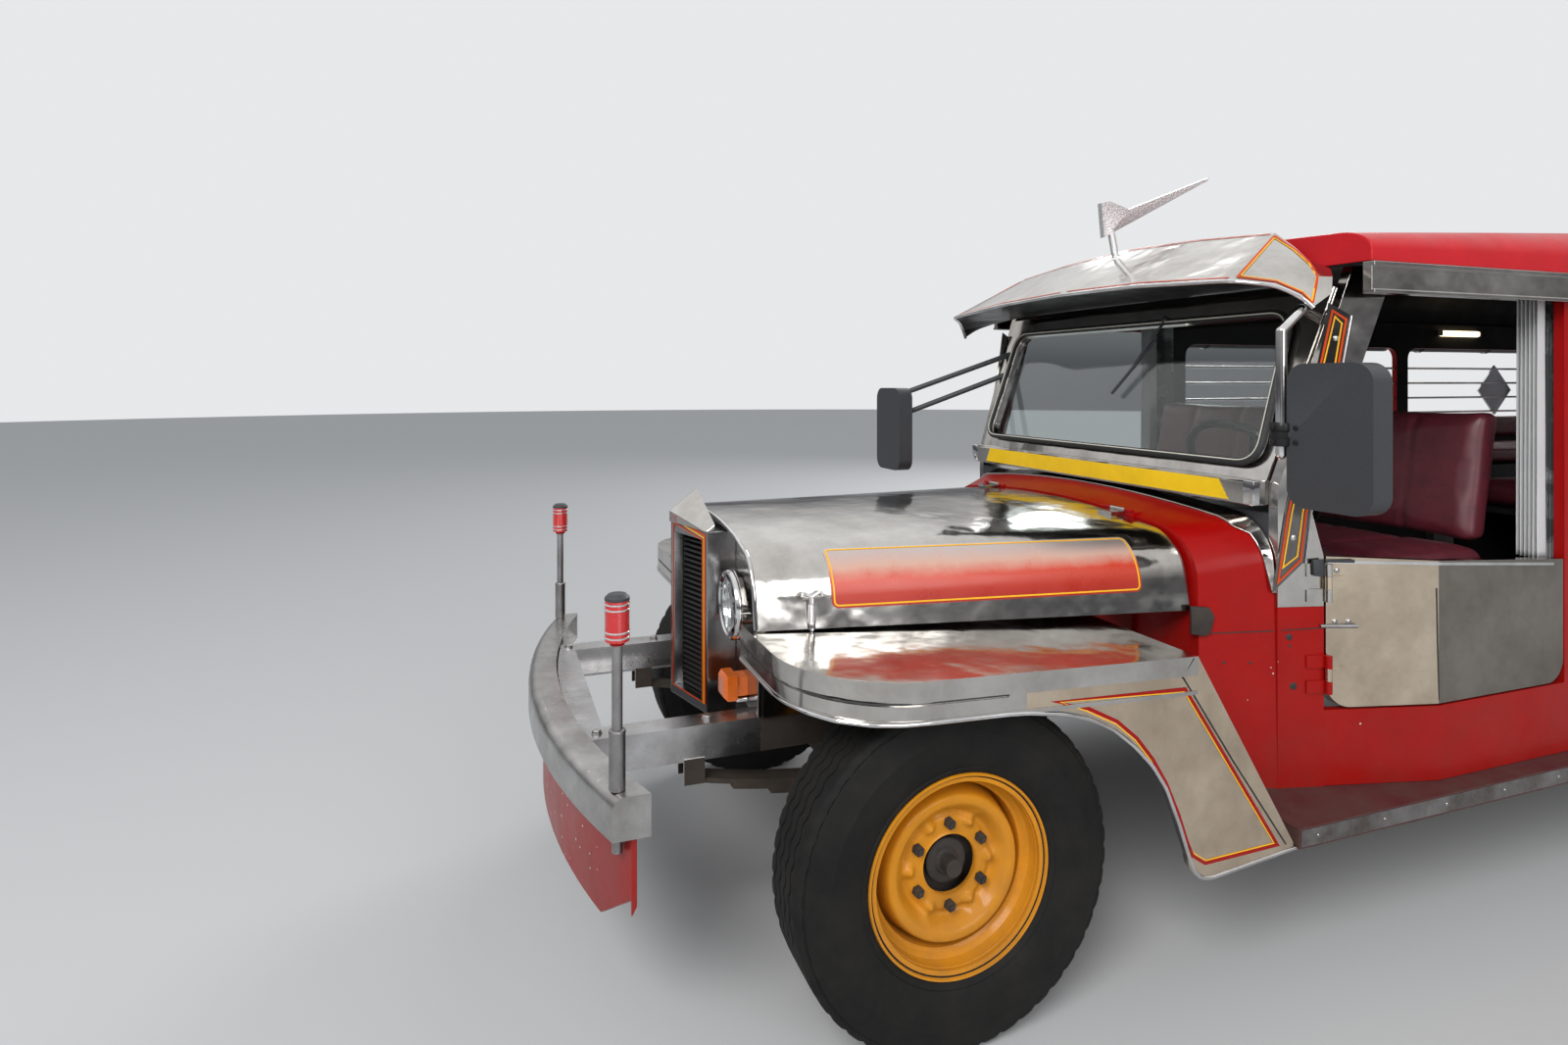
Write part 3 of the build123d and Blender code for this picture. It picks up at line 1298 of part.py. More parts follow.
mirror_y = body_half + 115.0
bar_y = body_half - 13.0
bar_x = -905.0
mirror_root_x = -1185.0
mirror_root_z = 1672.0
tube_radius = 13.0
left_mirror = mirror_head(-932, mirror_y, 1340)
left_mirror += rod((bar_x, bar_y, 1340), (bar_x - 20, mirror_y - 50, 1340), tube_radius - 1)
tube_route = [
    # x, y, z of the bends, from the post down to the foot of the bar
    (mirror_root_x, glass_high_half + 13, mirror_root_z), (-1000, bar_y - 22, mirror_root_z - 12),
    (bar_x, bar_y, 1600), (bar_x, bar_y, 1290),
]
for start, end in zip(tube_route[:-1], tube_route[1:]):
    left_mirror += rod(start, end, tube_radius)
    left_mirror += Pos(*end) * Sphere(tube_radius)
left_mirror -= shield
right_mirror = mirror_head(-720, -mirror_y, 1265)
for z in (1590, 1500):
    root_x = mirror_root_x + (mirror_root_z - z) * rake_run
    right_mirror += rod((root_x, -glass_high_half - 53, z), (-740, 50 - mirror_y, z - 170), tube_radius - 2)
right_mirror -= shield
save("mirrors", group(left_mirror, right_mirror))

# Running boards on their brackets
board_rear_x = rear_axle_x + arch_radius + 40
board_low = body_bottom - board_thickness
board_skin = 8.0
board_edge = 6.0
board = box(board_rear_x, skirt_heel_x - seat_gap, board_inner, board_outer, board_low, body_bottom)
board -= box(board_rear_x + board_edge, skirt_heel_x - 10, board_inner + board_edge, board_outer - board_edge,
             board_low - 1, body_bottom - board_skin)
bracket_points = [
    # y, z of a bracket from the rail's side down to the board
    (rail_outer + seat_gap, rail_top - 40), (rail_outer + seat_gap, rail_top - 110),
    (board_inner - 40, board_low + 4), (board_inner + board_edge, board_low + 4),
    (board_inner + board_edge, body_bottom - board_skin), (board_inner - 30, body_bottom - board_skin),
]
bracket_half = 22.0
for x in (-1060.0, -1900.0, -2740.0, board_rear_x + bracket_half + 4):
    board += end_prism(bracket_points, x - bracket_half, x + bracket_half)
save("running_boards", pair(board))

# Rear step and its side bumpers. Each left block has a twin on the right.
step_sheet = 8.0
step_depth = 30.0
step_low = step_z - step_depth
bar_high = step_z + 50.0
step = box(rear_end_x, body_rear_x, -step_half, step_half, step_low, step_z)
step -= box(rear_end_x + step_sheet, body_rear_x + 1, step_sheet - step_half, step_half - step_sheet,
            step_low - 1, step_z - step_sheet)
step_rows = [
    # x from and to, y from and to, z from and to: drop leg, side bumper, its stay, its bracket
    (body_rear_x - 60, body_rear_x - seat_gap, rail_inner, rail_outer, step_low, rail_top - 4),
    (rear_end_x, rear_end_x + 60, step_half, body_half - 10, step_low, bar_high),
    (rear_end_x + 30, body_rear_x - 50, step_half + 60, step_half + 100, step_low + 5, step_z + 10),
    (body_rear_x - 60, body_rear_x - 40, rail_inner, step_half + 100, step_low + 5, step_z + 10),
]
for row in step_rows:
    block = box(*row)
    step += block
    step += other_side(block)
save("rear_step", step)

tail_x = rear_face_x - seat_gap
tail_y = body_half - 110.0
tail_rows = (760.0, 880.0)
lamps = [rod((tail_x, tail_y, z), (tail_x - 40, tail_y, z), 45) for z in tail_rows]
save("tail_lamps", pair(group(*lamps)))

# Rolled side curtains under the roof band, and curtains hung behind the doors
roll_radius = 36.0
rolls = []
for front, rear in bays:
    y = body_half + seat_gap + roll_radius
    z = fascia_bottom - roll_radius - seat_gap
    rolls.append(rod((front + 10, y, z), (rear - 10, y, z), roll_radius))
curtain_rows = [
    # front x, thickness along x, low z
    (door_rear_x + 60, 60, 950),
    (door_rear_x - 30, 70, 900),
]
curtain_depth = 68.0
curtain_outer = body_half - wall - seat_gap
curtains = []
for x, length, low in curtain_rows:
    curtains.append(box(x - length, x, curtain_outer - curtain_depth, curtain_outer, low, roof_rim_z - 60))
save("curtains", pair(group(*rolls, *curtains)))

# Fuel tank beside the right rail and the exhaust under the left one
tank = box(-1840, -1130, 10 - board_inner, -rail_outer - seat_gap, 400, 610)
save("fuel_tank", fillet(tank.edges().filter_by(Axis.X), 40))
pipe_y = 215.0
pipe_z = 470.0
pipe_radius = 24.0
exhaust_rows = [
    # x from and to, radius: front pipe, silencer, rear pipe
    (-1000.0, -2050.0, pipe_radius),
    (-2050.0, -2560.0, 75.0),
    (-2560.0, -2960.0, pipe_radius),
]
exhaust = None
for x0, x1, radius in exhaust_rows:
    pipe = rod((x0, pipe_y, pipe_z), (x1, pipe_y, pipe_z), radius)
    exhaust = pipe if exhaust is None else exhaust + pipe
bend = (exhaust_rows[-1][1], pipe_y, pipe_z)
exhaust += Pos(*bend) * Sphere(pipe_radius)
exhaust += rod(bend, (-3120, pipe_y + 80, pipe_z - 15), pipe_radius)
strap_top = rail_top - rear_depth + rail_sheet - seat_gap
for x in crossmember_x[3:5]:
    exhaust += box(x - 10, x + 10, pipe_y - 6, pipe_y + 6, pipe_z, strap_top)
save("exhaust", exhaust)
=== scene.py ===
# %% [markdown]
# # A passenger jeepney, dressed for a picture
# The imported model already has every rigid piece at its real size. This lesson gives each surface
# its finish and adds what was too fine for the solids: tread, nuts, enamel lines, folded edges,
# seams, seat covers and cloth. Lengths are metres, +X is forward, +Y the driver's left, +Z up.

# %% Load the frame
import json
from math import atan2, cos, pi, radians, sin
import bmesh
import bpy
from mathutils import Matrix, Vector, noise
from mathutils.bvhtree import BVHTree

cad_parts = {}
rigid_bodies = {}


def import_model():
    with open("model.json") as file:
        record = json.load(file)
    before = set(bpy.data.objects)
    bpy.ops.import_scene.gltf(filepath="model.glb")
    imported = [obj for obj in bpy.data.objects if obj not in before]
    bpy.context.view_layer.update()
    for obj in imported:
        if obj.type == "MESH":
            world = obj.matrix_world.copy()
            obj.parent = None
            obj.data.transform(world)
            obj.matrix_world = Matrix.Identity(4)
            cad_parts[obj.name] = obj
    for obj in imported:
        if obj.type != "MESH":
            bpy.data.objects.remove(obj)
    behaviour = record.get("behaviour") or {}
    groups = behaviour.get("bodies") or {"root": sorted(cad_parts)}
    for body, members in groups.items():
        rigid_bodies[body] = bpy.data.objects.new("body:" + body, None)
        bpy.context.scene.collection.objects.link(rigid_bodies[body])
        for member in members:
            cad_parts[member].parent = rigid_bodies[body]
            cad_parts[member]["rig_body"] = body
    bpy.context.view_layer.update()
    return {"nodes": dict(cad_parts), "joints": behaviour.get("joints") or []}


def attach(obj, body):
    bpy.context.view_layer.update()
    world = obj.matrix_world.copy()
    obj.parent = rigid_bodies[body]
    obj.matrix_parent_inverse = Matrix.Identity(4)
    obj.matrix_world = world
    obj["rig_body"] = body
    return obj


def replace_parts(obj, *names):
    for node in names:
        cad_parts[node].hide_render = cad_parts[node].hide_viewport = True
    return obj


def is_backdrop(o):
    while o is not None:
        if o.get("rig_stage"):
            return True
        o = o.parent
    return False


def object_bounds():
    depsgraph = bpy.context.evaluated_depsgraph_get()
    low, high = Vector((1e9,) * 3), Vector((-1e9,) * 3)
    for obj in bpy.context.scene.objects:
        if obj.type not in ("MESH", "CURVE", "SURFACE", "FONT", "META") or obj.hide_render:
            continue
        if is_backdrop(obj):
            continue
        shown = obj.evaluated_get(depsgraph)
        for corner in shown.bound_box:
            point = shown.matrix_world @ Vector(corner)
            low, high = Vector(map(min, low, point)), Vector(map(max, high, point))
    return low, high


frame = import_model()
nodes = frame["nodes"]
joint_at = {joint["name"]: Vector(joint.get("pos_m", (0, 0, 0))) for joint in frame["joints"]}

# %% [markdown]
# ## The camera
# The picture was taken from standing height, close to the left front wheel, with a wide lens held
# level. A level camera keeps upright lines upright, so the lens shift does the framing.

# %% Place the camera


def placed(name, data):
    """An object of some data, in the scene."""
    thing = bpy.data.objects.new(name, data)
    bpy.context.scene.collection.objects.link(thing)
    return thing


photo_width, photo_height = 1600, 1066
focal_pixels, level_line = 870.0, 388.0
camera_place, camera_look = Vector((3.372, 2.426, 1.476)), Vector((-0.3338, -0.9426, 0.0))
camera_data = bpy.data.cameras.new("photo_camera")
camera_data.sensor_width = 36.0
camera_data.lens = focal_pixels / photo_width * camera_data.sensor_width
camera_data.shift_y = (level_line - photo_height / 2) / photo_width
camera_data.clip_start = 0.05
camera = placed("photo_camera", camera_data)
camera.location = camera_place
camera.rotation_euler = camera_look.to_track_quat("-Z", "Y").to_euler()
bpy.context.scene.camera = camera
print("lens", round(camera_data.lens, 2), "mm, shift", round(camera_data.shift_y, 4))

# %% [markdown]
# ## Measures shared with the solids
# Sizes along the vehicle are easiest to read from the front axle, in millimetres, so one small
# function turns such a place into metres in the frame.

# %% A place measured from the front axle
axle_x, _, axle_z = joint_at["left_steer"]
rear_x = (joint_at["rear_left_spin"].x - axle_x) * 1000
sides = ((1, "left"), (-1, "right"))
ahead, behind, up = (1, 0, 0), (-1, 0, 0), (0, 0, 1)


def at(x, y, z):
    """A place in millimetres from the front axle, the centre line and the ground."""
    return Vector((axle_x + x / 1000, y / 1000, z / 1000))


print("front axle at", round(axle_x, 3), "m, rear axle at", round(rear_x), "mm from it")

# %% [markdown]
# ## Shader groups
# Several finishes share the same effects: sheet metal that was never quite flat, road dust that
# settles low on the body, and speckle that breaks up a plain colour. Each effect is a node group
# with named inputs, so that every material sets its own values.

# %% Helpers for node trees


def fill(tree, socket, value):
    """Links a socket to another one, or sets its value."""
    if isinstance(value, bpy.types.NodeSocket):
        tree.links.new(value, socket)
    else:
        socket.default_value = value


def add(tree, kind, **values):
    """A node with its settings, or its inputs by name, filled in."""
    node = tree.nodes.new(kind)
    for key, value in values.items():
        if hasattr(node, key):
            setattr(node, key, value)
        else:
            fill(tree, node.inputs[key.replace("_", " ")], value)
    return node


def maths(tree, operation, *values):
    """A maths node of two values or sockets, and its result."""
    node = add(tree, "ShaderNodeMath", operation=operation)
    for socket, value in zip(node.inputs, values):
        fill(tree, socket, value)
    return node.outputs[0]


def mixed(tree, factor, first, second):
    """A colour between two others."""
    node = add(tree, "ShaderNodeMix", data_type="RGBA", Factor=factor)
    fill(tree, node.inputs[6], first)
    fill(tree, node.inputs[7], second)
    return node.outputs[2]


def ramp(tree, source, *stops):
    """A colour ramp through (position, red, green, blue) stops."""
    node = add(tree, "ShaderNodeValToRGB", Fac=source)
    for element, (position, *color) in zip(node.color_ramp.elements, (stops[0], stops[-1])):
        element.position, element.color = position, (*color, 1)
    for position, *color in stops[1:-1]:
        node.color_ramp.elements.new(position).color = (*color, 1)
    return node


def object_place(tree):
    """The place on the object, as a texture reads it."""
    return add(tree, "ShaderNodeTexCoord").outputs["Object"]


def cloudy(tree, scale, detail, roughness):
    """Noise on the object."""
    node = add(tree, "ShaderNodeTexNoise", Vector=object_place(tree), Scale=scale, Detail=detail,
               Roughness=roughness)
    return node.outputs["Fac"]


def shader_group(name, outputs, **inputs):
    """A node group with its sockets: a tuple is a colour, a number is a measure."""
    group = bpy.data.node_groups.new(name, "ShaderNodeTree")
    for label, value in inputs.items():
        kind = "NodeSocketColor" if isinstance(value, tuple) else "NodeSocketFloat"
        group.interface.new_socket(name=label, in_out="INPUT", socket_type=kind).default_value = value
    for label in outputs:
        kind = "NodeSocketColor" if label == "Color" else "NodeSocketFloat"
        group.interface.new_socket(name=label, in_out="OUTPUT", socket_type=kind)
    return group, group.nodes.new("NodeGroupInput").outputs, group.nodes.new("NodeGroupOutput").inputs

print("node helpers ready")

# %% Waves, dust and grain
waves, given, wanted = shader_group("sheet_waves", ("Height", "Smear"), Swell=2.5, Dent=14.0, Smudge=6.0)
dents = maths(waves, "MULTIPLY", cloudy(waves, given["Dent"], 1.5, 0.4), 0.16)
fill(waves, wanted["Height"], maths(waves, "ADD", cloudy(waves, given["Swell"], 1.5, 0.4), dents))
fill(waves, wanted["Smear"], cloudy(waves, given["Smudge"], 8.0, 0.65))

dust, given, wanted = shader_group("road_dust", ("Color", "Mask"), Paint=(0.5, 0.5, 0.5, 1),
                                   Dust=(0.085, 0.066, 0.050, 1), Amount=0.5, Line=0.9, Patch=5.0)
height = add(dust, "ShaderNodeSeparateXYZ", Vector=object_place(dust)).outputs["Z"]
low = maths(dust, "ADD", maths(dust, "MULTIPLY", maths(dust, "SUBTRACT", given["Line"], height), 1.4), 0.25)
mask = maths(dust, "MULTIPLY", low, maths(dust, "POWER", cloudy(dust, given["Patch"], 9.0, 0.7), 2.2))
mask = maths(dust, "MULTIPLY", maths(dust, "MULTIPLY", mask, given["Amount"]), 3.0)
clamp = add(dust, "ShaderNodeClamp", Value=mask)
fill(dust, wanted["Color"], mixed(dust, clamp.outputs[0], given["Paint"], given["Dust"]))
fill(dust, wanted["Mask"], clamp.outputs[0])

grain, given, wanted = shader_group("fine_grain", ("Color", "Height"), Base=(0.5, 0.5, 0.5, 1),
                                    Fleck=(0.3, 0.3, 0.3, 1), Scale=60.0, Amount=0.5)
speck = cloudy(grain, given["Scale"], 6.0, 0.7)
spread = add(grain, "ShaderNodeMapRange", Value=speck, From_Min=0.35, From_Max=0.65)
share = maths(grain, "MULTIPLY", spread.outputs[0], given["Amount"])
fill(grain, wanted["Color"], mixed(grain, share, given["Base"], given["Fleck"]))
fill(grain, wanted["Height"], speck)
print("groups", waves.name, dust.name, grain.name)

# %% [markdown]
# ## Finishes
# A finish starts from one Principled shader. Values that are the same all over sit on its own
# sockets, and only colour, roughness and the bump come from the groups.

# %% Start a finish
finishes = {}


def shade(material, **values):
    """Fills sockets of a material's shader."""
    tree = material.node_tree
    for key, value in values.items():
        fill(tree, tree.nodes["Principled BSDF"].inputs[key.replace("_", " ")], value)


def finish(name, color, roughness=0.5, metallic=0.0, **more):
    """A material with a plain shader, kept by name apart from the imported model's own."""
    material = finishes[name] = bpy.data.materials.new(name)
    material.use_nodes = True
    shade(material, Base_Color=(*color, 1), Roughness=roughness, Metallic=metallic, **more)
    return material


def grained_with(material, base, fleck, scale, amount):
    """The grain group in a material."""
    return add(material.node_tree, "ShaderNodeGroup", node_tree=grain, Base=(*base, 1), Fleck=(*fleck, 1),
               Scale=scale, Amount=amount).outputs


def bump(material, height, strength, distance):
    """Feeds a height to the shader's normal."""
    node = add(material.node_tree, "ShaderNodeBump", Strength=strength, Distance=distance, Height=height)
    shade(material, Normal=node.outputs[0])


def vary_roughness(material, source, low, high):
    """Roughness that runs between two values with a mask."""
    node = add(material.node_tree, "ShaderNodeMapRange", Value=source, From_Min=0.25, From_Max=0.75,
               To_Min=low, To_Max=high)
    shade(material, Roughness=node.outputs[0])


def sheet_metal(material, faded, swell, low, high, depth, dusty, line):
    """Patchy colour under settled dust, smears, and slow waves in the sheet."""
    tree = material.node_tree
    dirt = add(tree, "ShaderNodeGroup", node_tree=dust, Paint=faded["Color"], Amount=dusty, Line=line)
    wave = add(tree, "ShaderNodeGroup", node_tree=waves, Swell=swell).outputs
    shade(material, Base_Color=dirt.outputs["Color"])
    vary_roughness(material, wave["Smear"], low, high)
    bump(material, wave["Height"], 1.0, depth)


def polished(name, color, low, high, swell, depth, dusty=0.3, line=0.9):
    """Bright sheet metal with tarnish."""
    material = finish(name, color, low, 1.0)
    dim = [channel * tint for channel, tint in zip(color, (0.44, 0.41, 0.38))]
    sheet_metal(material, grained_with(material, color, dim, swell * 1.1, 0.6), swell, low, high, depth, dusty, line)


def painted(name, color, roughness, coat, dusty, line=0.9):
    """Gloss paint over sheet metal, a little faded in patches."""
    material = finish(name, color, roughness, Coat_Weight=coat, Coat_Roughness=0.12, Specular_IOR_Level=0.14)
    faded = grained_with(material, color, [channel * 0.72 for channel in color], 7.0, 0.5)
    sheet_metal(material, faded, 2.2, roughness * 0.8, roughness * 1.5, 0.002, dusty, line)


def grained(name, color, fleck, roughness, scale, depth, amount=0.5, metallic=0.0):
    """A moulded or cast surface with fine grain."""
    material = finish(name, color, roughness, metallic)
    speckle = grained_with(material, color, fleck, scale, amount)
    shade(material, Base_Color=speckle["Color"])
    bump(material, speckle["Height"], 0.6, depth)


def coloured_lens(name, color):
    """Ribbed coloured plastic over a lamp."""
    material = finish(name, color, 0.15, 0.0, Transmission_Weight=0.25, Coat_Weight=0.8, Coat_Roughness=0.05)
    tree = material.node_tree
    ribs = add(tree, "ShaderNodeTexWave", wave_type="BANDS", bands_direction="Z", Scale=75.0,
               Vector=object_place(tree))
    bump(material, ribs.outputs["Fac"], 0.35, 0.002)

print("makers of finishes ready")

# %% Mix the finishes
for row in (
    # name, colour, roughness from and to, waves to a metre, their depth, dust
    ("stainless", (0.60, 0.585, 0.56), 0.07, 0.20, 3.0, 0.014),
    ("worn_stainless", (0.58, 0.58, 0.58), 0.20, 0.42, 5.0, 0.008, 0.6),
    ("chrome", (0.80, 0.80, 0.81), 0.05, 0.12, 4.0, 0.002, 0.15),
    ("steel_plate", (0.42, 0.42, 0.43), 0.28, 0.50, 7.0, 0.006, 0.7),
    # darker polish: a painted dark reflection, for the grille frame
    ("dark_polish", (0.36, 0.36, 0.37), 0.14, 0.30, 4.0, 0.006),
    ("bare_steel", (0.56, 0.56, 0.57), 0.18, 0.38, 6.0, 0.006, 0.12),
    # stainless tinted warm: a painted warm reflection of the street, for the fender skirt and the doors' front halves
    ("warm_steel", (0.86, 0.73, 0.57), 0.10, 0.22, 2.6, 0.014),
    # stainless darkened: a painted dark reflection, for the doors' rear halves
    ("dark_steel", (0.33, 0.305, 0.27), 0.07, 0.20, 3.0, 0.012),
    # dark polish: a painted dark reflection, for the outer faces of the post blades
    ("dark_blade", (0.20, 0.19, 0.19), 0.07, 0.16, 6.0, 0.008),
):
    polished(*row)
for row in (
    # name, colour, roughness, coat, dust, height of the dust
    ("red_paint", (0.33, 0.0012, 0.0008), 0.32, 0.06, 0.2),
    ("valance_red", (0.30, 0.004, 0.004), 0.34, 0.2, 0.35),
    ("roof_red", (0.52, 0.012, 0.018), 0.34, 0.15, 0.1),
    ("border_orange", (0.58, 0.060, 0.006), 0.35, 0.3, 0.2),
    ("stripe_yellow", (0.90, 0.47, 0.02), 0.40, 0.2, 0.1),
    ("sign_yellow", (0.93, 0.60, 0.010), 0.40, 0.3, 0.1),
    ("wheel_paint", (0.66, 0.255, 0.006), 0.34, 0.15, 0.45, 0.62),
    ("maroon", (0.085, 0.012, 0.020), 0.45, 0.1, 0.7, 0.8),
    ("black_paint", (0.014, 0.014, 0.015), 0.38, 0.2, 0.3),
    ("chassis_black", (0.022, 0.020, 0.019), 0.60, 0.0, 0.9, 0.9),
    ("cream", (0.72, 0.70, 0.60), 0.5, 0.1, 0.2),
    # near black: painted shade on the cabin's inner faces
    ("lining", (0.020, 0.019, 0.018), 0.6, 0.0, 0.1),
):
    painted(*row)
for row in (
    # name, colour, fleck, roughness, scale, depth, amount, metallic
    ("tyre_rubber", (0.006, 0.006, 0.006), (0.018, 0.016, 0.014), 0.74, 9.0, 0.0015, 0.6),
    ("seal_rubber", (0.012, 0.012, 0.012), (0.03, 0.03, 0.03), 0.6, 90.0, 0.0006),
    ("dark_plastic", (0.028, 0.031, 0.036), (0.050, 0.052, 0.056), 0.50, 220.0, 0.0010),
    ("cast_iron", (0.022, 0.021, 0.020), (0.060, 0.040, 0.028), 0.75, 30.0, 0.002, 0.6, 0.2),
    ("rust", (0.10, 0.045, 0.02), (0.03, 0.022, 0.018), 0.85, 16.0, 0.002, 0.9),
    ("floor_plate", (0.20, 0.19, 0.18), (0.09, 0.08, 0.07), 0.55, 22.0, 0.002, 0.6, 0.5),
    ("hammered_silver", (0.62, 0.62, 0.62), (0.80, 0.80, 0.80), 0.30, 120.0, 0.006, 0.5, 1.0),
    ("tarpaulin", (0.030, 0.034, 0.042), (0.08, 0.085, 0.09), 0.50, 14.0, 0.002, 0.6),
):
    grained(*row)
shade(finishes["tyre_rubber"], Specular_IOR_Level=0.2)
finish("windscreen_glass", (0.86, 0.93, 0.91), 0.02, 0.0, Transmission_Weight=1.0, IOR=1.45)
finish("lens_glass", (0.95, 0.97, 0.97), 0.03, 0.0, Transmission_Weight=1.0, IOR=1.45)
finish("mirror_glass", (0.88, 0.90, 0.90), 0.02, 1.0)
coloured_lens("red_lens", (0.62, 0.010, 0.012))
coloured_lens("orange_lens", (0.86, 0.17, 0.010))
finish("warm_lamp", (1.0, 0.85, 0.6), 0.4, 0.0, Emission_Strength=3.0, Emission_Color=(1.0, 0.80, 0.50, 1))
print(len(finishes), "finishes mixed")

# %% [markdown]
# ## Dressing a solid
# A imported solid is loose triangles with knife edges. A merged copy, with flat neighbours joined,
# can take a bevel, so that each folded edge of the sheet catches the light as a real one does.
# The copy then stands for the solid.

# %% Dress the solids


def joined(parts):
    """Several bmeshes as one."""
    whole = bmesh.new()
    for part in parts:
        mesh = bpy.data.meshes.new("joined_part")
        part.to_mesh(mesh)
        part.free()
        whole.from_mesh(mesh)
        bpy.data.meshes.remove(mesh)
    return whole


def put(name, parts, material, body="body", both=False):
    """Turns a bmesh, or a list of them, into a piece that rides on a body."""
    bm = joined(parts) if isinstance(parts, list) else parts
    if both:
        bm = both_sides(bm)
    mesh = bpy.data.meshes.new(name)
    bm.to_mesh(mesh)
    bm.free()
    piece = placed(name, mesh)
    mesh.materials.append(finishes[material])
    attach(piece, body)
    return piece


def tone(piece, material, chosen):
    """Gives a further finish to the faces that a test of centre and normal picks."""
    data = piece.data
    data.materials.append(finishes[material])
    for face in data.polygons:
        if chosen(face.center, face.normal):
            face.material_index = len(data.materials) - 1


def outward(bm):
    """Turns every face outward."""
    bmesh.ops.recalc_face_normals(bm, faces=bm.faces)
    return bm


def mirrored(bm):
    """The mirror image of a left piece."""
    twin = bm.copy()
    bmesh.ops.scale(twin, verts=twin.verts, vec=Vector((1, -1, 1)))
    return outward(twin)


def both_sides(bm):
    """A left piece together with its mirror image."""
    return joined([bm, mirrored(bm)])


def smooth(bm, limit=32.0):
    """Smooth shading, with the creases above a limit kept sharp."""
    for face in bm.faces:
        face.smooth = True
    for edge in bm.edges:
        edge.smooth = len(edge.link_faces) == 2 and edge.calc_face_angle(0.0) < radians(limit)
    return bm


def dress(node, material, width):
    """Puts a copy, with edges rounded by some millimetres, in the place of a solid."""
    bm = bmesh.new()
    bm.from_mesh(nodes[node].data)
    bmesh.ops.remove_doubles(bm, verts=bm.verts, dist=0.00003)
    bmesh.ops.dissolve_limit(bm, angle_limit=radians(0.6), verts=bm.verts, edges=bm.edges)
    piece = put(f"{node}_finished", smooth(bm), material, body=nodes[node]["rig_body"])
    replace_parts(piece, node)
    if width:
        modifier = piece.modifiers.new("rounded_edges", "BEVEL")
        modifier.width = width / 1000
        modifier.segments = 2
        modifier.limit_method = "ANGLE"
        modifier.angle_limit = radians(32)
        modifier.harden_normals = True
    return piece


pieces = {node: dress(node, material, width) for node, material, width in (
    # node, finish, edge radius
    ("front_bumper", "worn_stainless", 4), ("bumper_valance", "valance_red", 2), ("guide_poles", "steel_plate", 1),
    # the grille frame's darker polish is a painted dark reflection
    ("grille_frame", "dark_polish", 2), ("grille_cap", "stainless", 3), ("grille_louvres", "black_paint", 1),
    ("nose_panel", "stainless", 2), ("hood", "stainless", 2), ("front_fenders", "stainless", 2),
    ("cowl", "red_paint", 3), ("windshield_frame", "stainless", 2), ("corner_posts", "stainless", 2),
    ("left_door", "stainless", 2), ("right_door", "stainless", 2), ("body_sides", "red_paint", 3),
    ("window_rails", "chrome", 0), ("rear_frame", "stainless", 3), ("floor_pan", "floor_plate", 2),
    ("seat_bases", "black_paint", 2), ("dashboard", "dark_plastic", 4), ("steering_wheel", "black_paint", 0),
    ("roof_shell", "roof_red", 4), ("roof_fascia", "stainless", 2), ("visor_ornament", "hammered_silver", 2),
    ("running_boards", "maroon", 3), ("rear_step", "steel_plate", 3), ("frame_rails", "chassis_black", 1.5),
    ("leaf_springs", "chassis_black", 1), ("front_axle", "chassis_black", 3), ("rear_axle", "cast_iron", 0),
    ("left_knuckle", "cast_iron", 2), ("right_knuckle", "cast_iron", 2), ("tie_rod", "chassis_black", 0),
    ("drive_shaft", "chassis_black", 0), ("engine_block", "cast_iron", 6), ("exhaust", "rust", 0),
    ("fuel_tank", "chassis_black", 4), ("mirrors", "dark_plastic", 0), ("headlamps", "chrome", 0),
    ("headlamp_lenses", "lens_glass", 0), ("turn_signals", "orange_lens", 0), ("pole_lamps", "red_lens", 0),
    ("tail_lamps", "red_lens", 3), ("windshield_glass", "windscreen_glass", 0),
)}
print(len(pieces), "solids dressed")

# %% [markdown]
# ## Makers of forms
# Most added pieces are one of a few forms: a body turned about an axis, a bar along a route, a
# sheet cut to an outline, a rounded block, or a painted line on a flat face. Each form has one
# maker, built on Blender's own operators.

# %% Turned bodies and bars


def cleaned(bm, limit):
    """Doubles merged, faces outward, creases above a limit kept."""
    bmesh.ops.remove_doubles(bm, verts=bm.verts, dist=0.00001)
    return smooth(outward(bm), limit)


def turned(profile, centre, axis, steps=64, closed=False):
    """Spins (radius, distance along the axis) points, in millimetres, about an axis."""
    bm = bmesh.new()
    axis = Vector(axis)
    out = axis.orthogonal().normalized()
    spots = [bm.verts.new(centre + out * radius / 1000 + axis * reach / 1000) for radius, reach in profile]
    for pair in zip(spots, spots[1:] + (spots[:1] if closed else [])):
        bm.edges.new(pair)
    bmesh.ops.spin(bm, geom=bm.verts[:] + bm.edges[:], cent=centre, axis=axis, angle=2 * pi, steps=steps,
                   use_merge=True)
    return cleaned(bm, 35)


def rounded(points, bend, steps=6):
    """A route with its corners rounded."""
    route = [points[0]]
    for before, corner, after in zip(points, points[1:], points[2:]):
        start = corner + (before - corner).normalized() * bend
        end = corner + (after - corner).normalized() * bend
        for step in range(steps + 1):
            share = step / steps
            route.append((1 - share) ** 2 * start + 2 * share * (1 - share) * corner + share ** 2 * end)
    return route + [points[-1]]


def bar(route, radius, around=4):
    """A round bar in metres along a route, with capped ends."""
    curve = bpy.data.curves.new("bar_route", "CURVE")
    curve.dimensions = "3D"
    curve.bevel_depth = radius
    curve.bevel_resolution = around
    curve.use_fill_caps = True
    spline = curve.splines.new("POLY")
    spline.points.add(len(route) - 1)
    for point, place in zip(spline.points, route):
        point.co = (*place, 1)
    holder = bpy.data.objects.new("bar_route", curve)
    mesh = bpy.data.meshes.new_from_object(holder)
    bm = bmesh.new()
    bm.from_mesh(mesh)
    bpy.data.objects.remove(holder)
    bpy.data.meshes.remove(mesh)
    return cleaned(bm, 50)

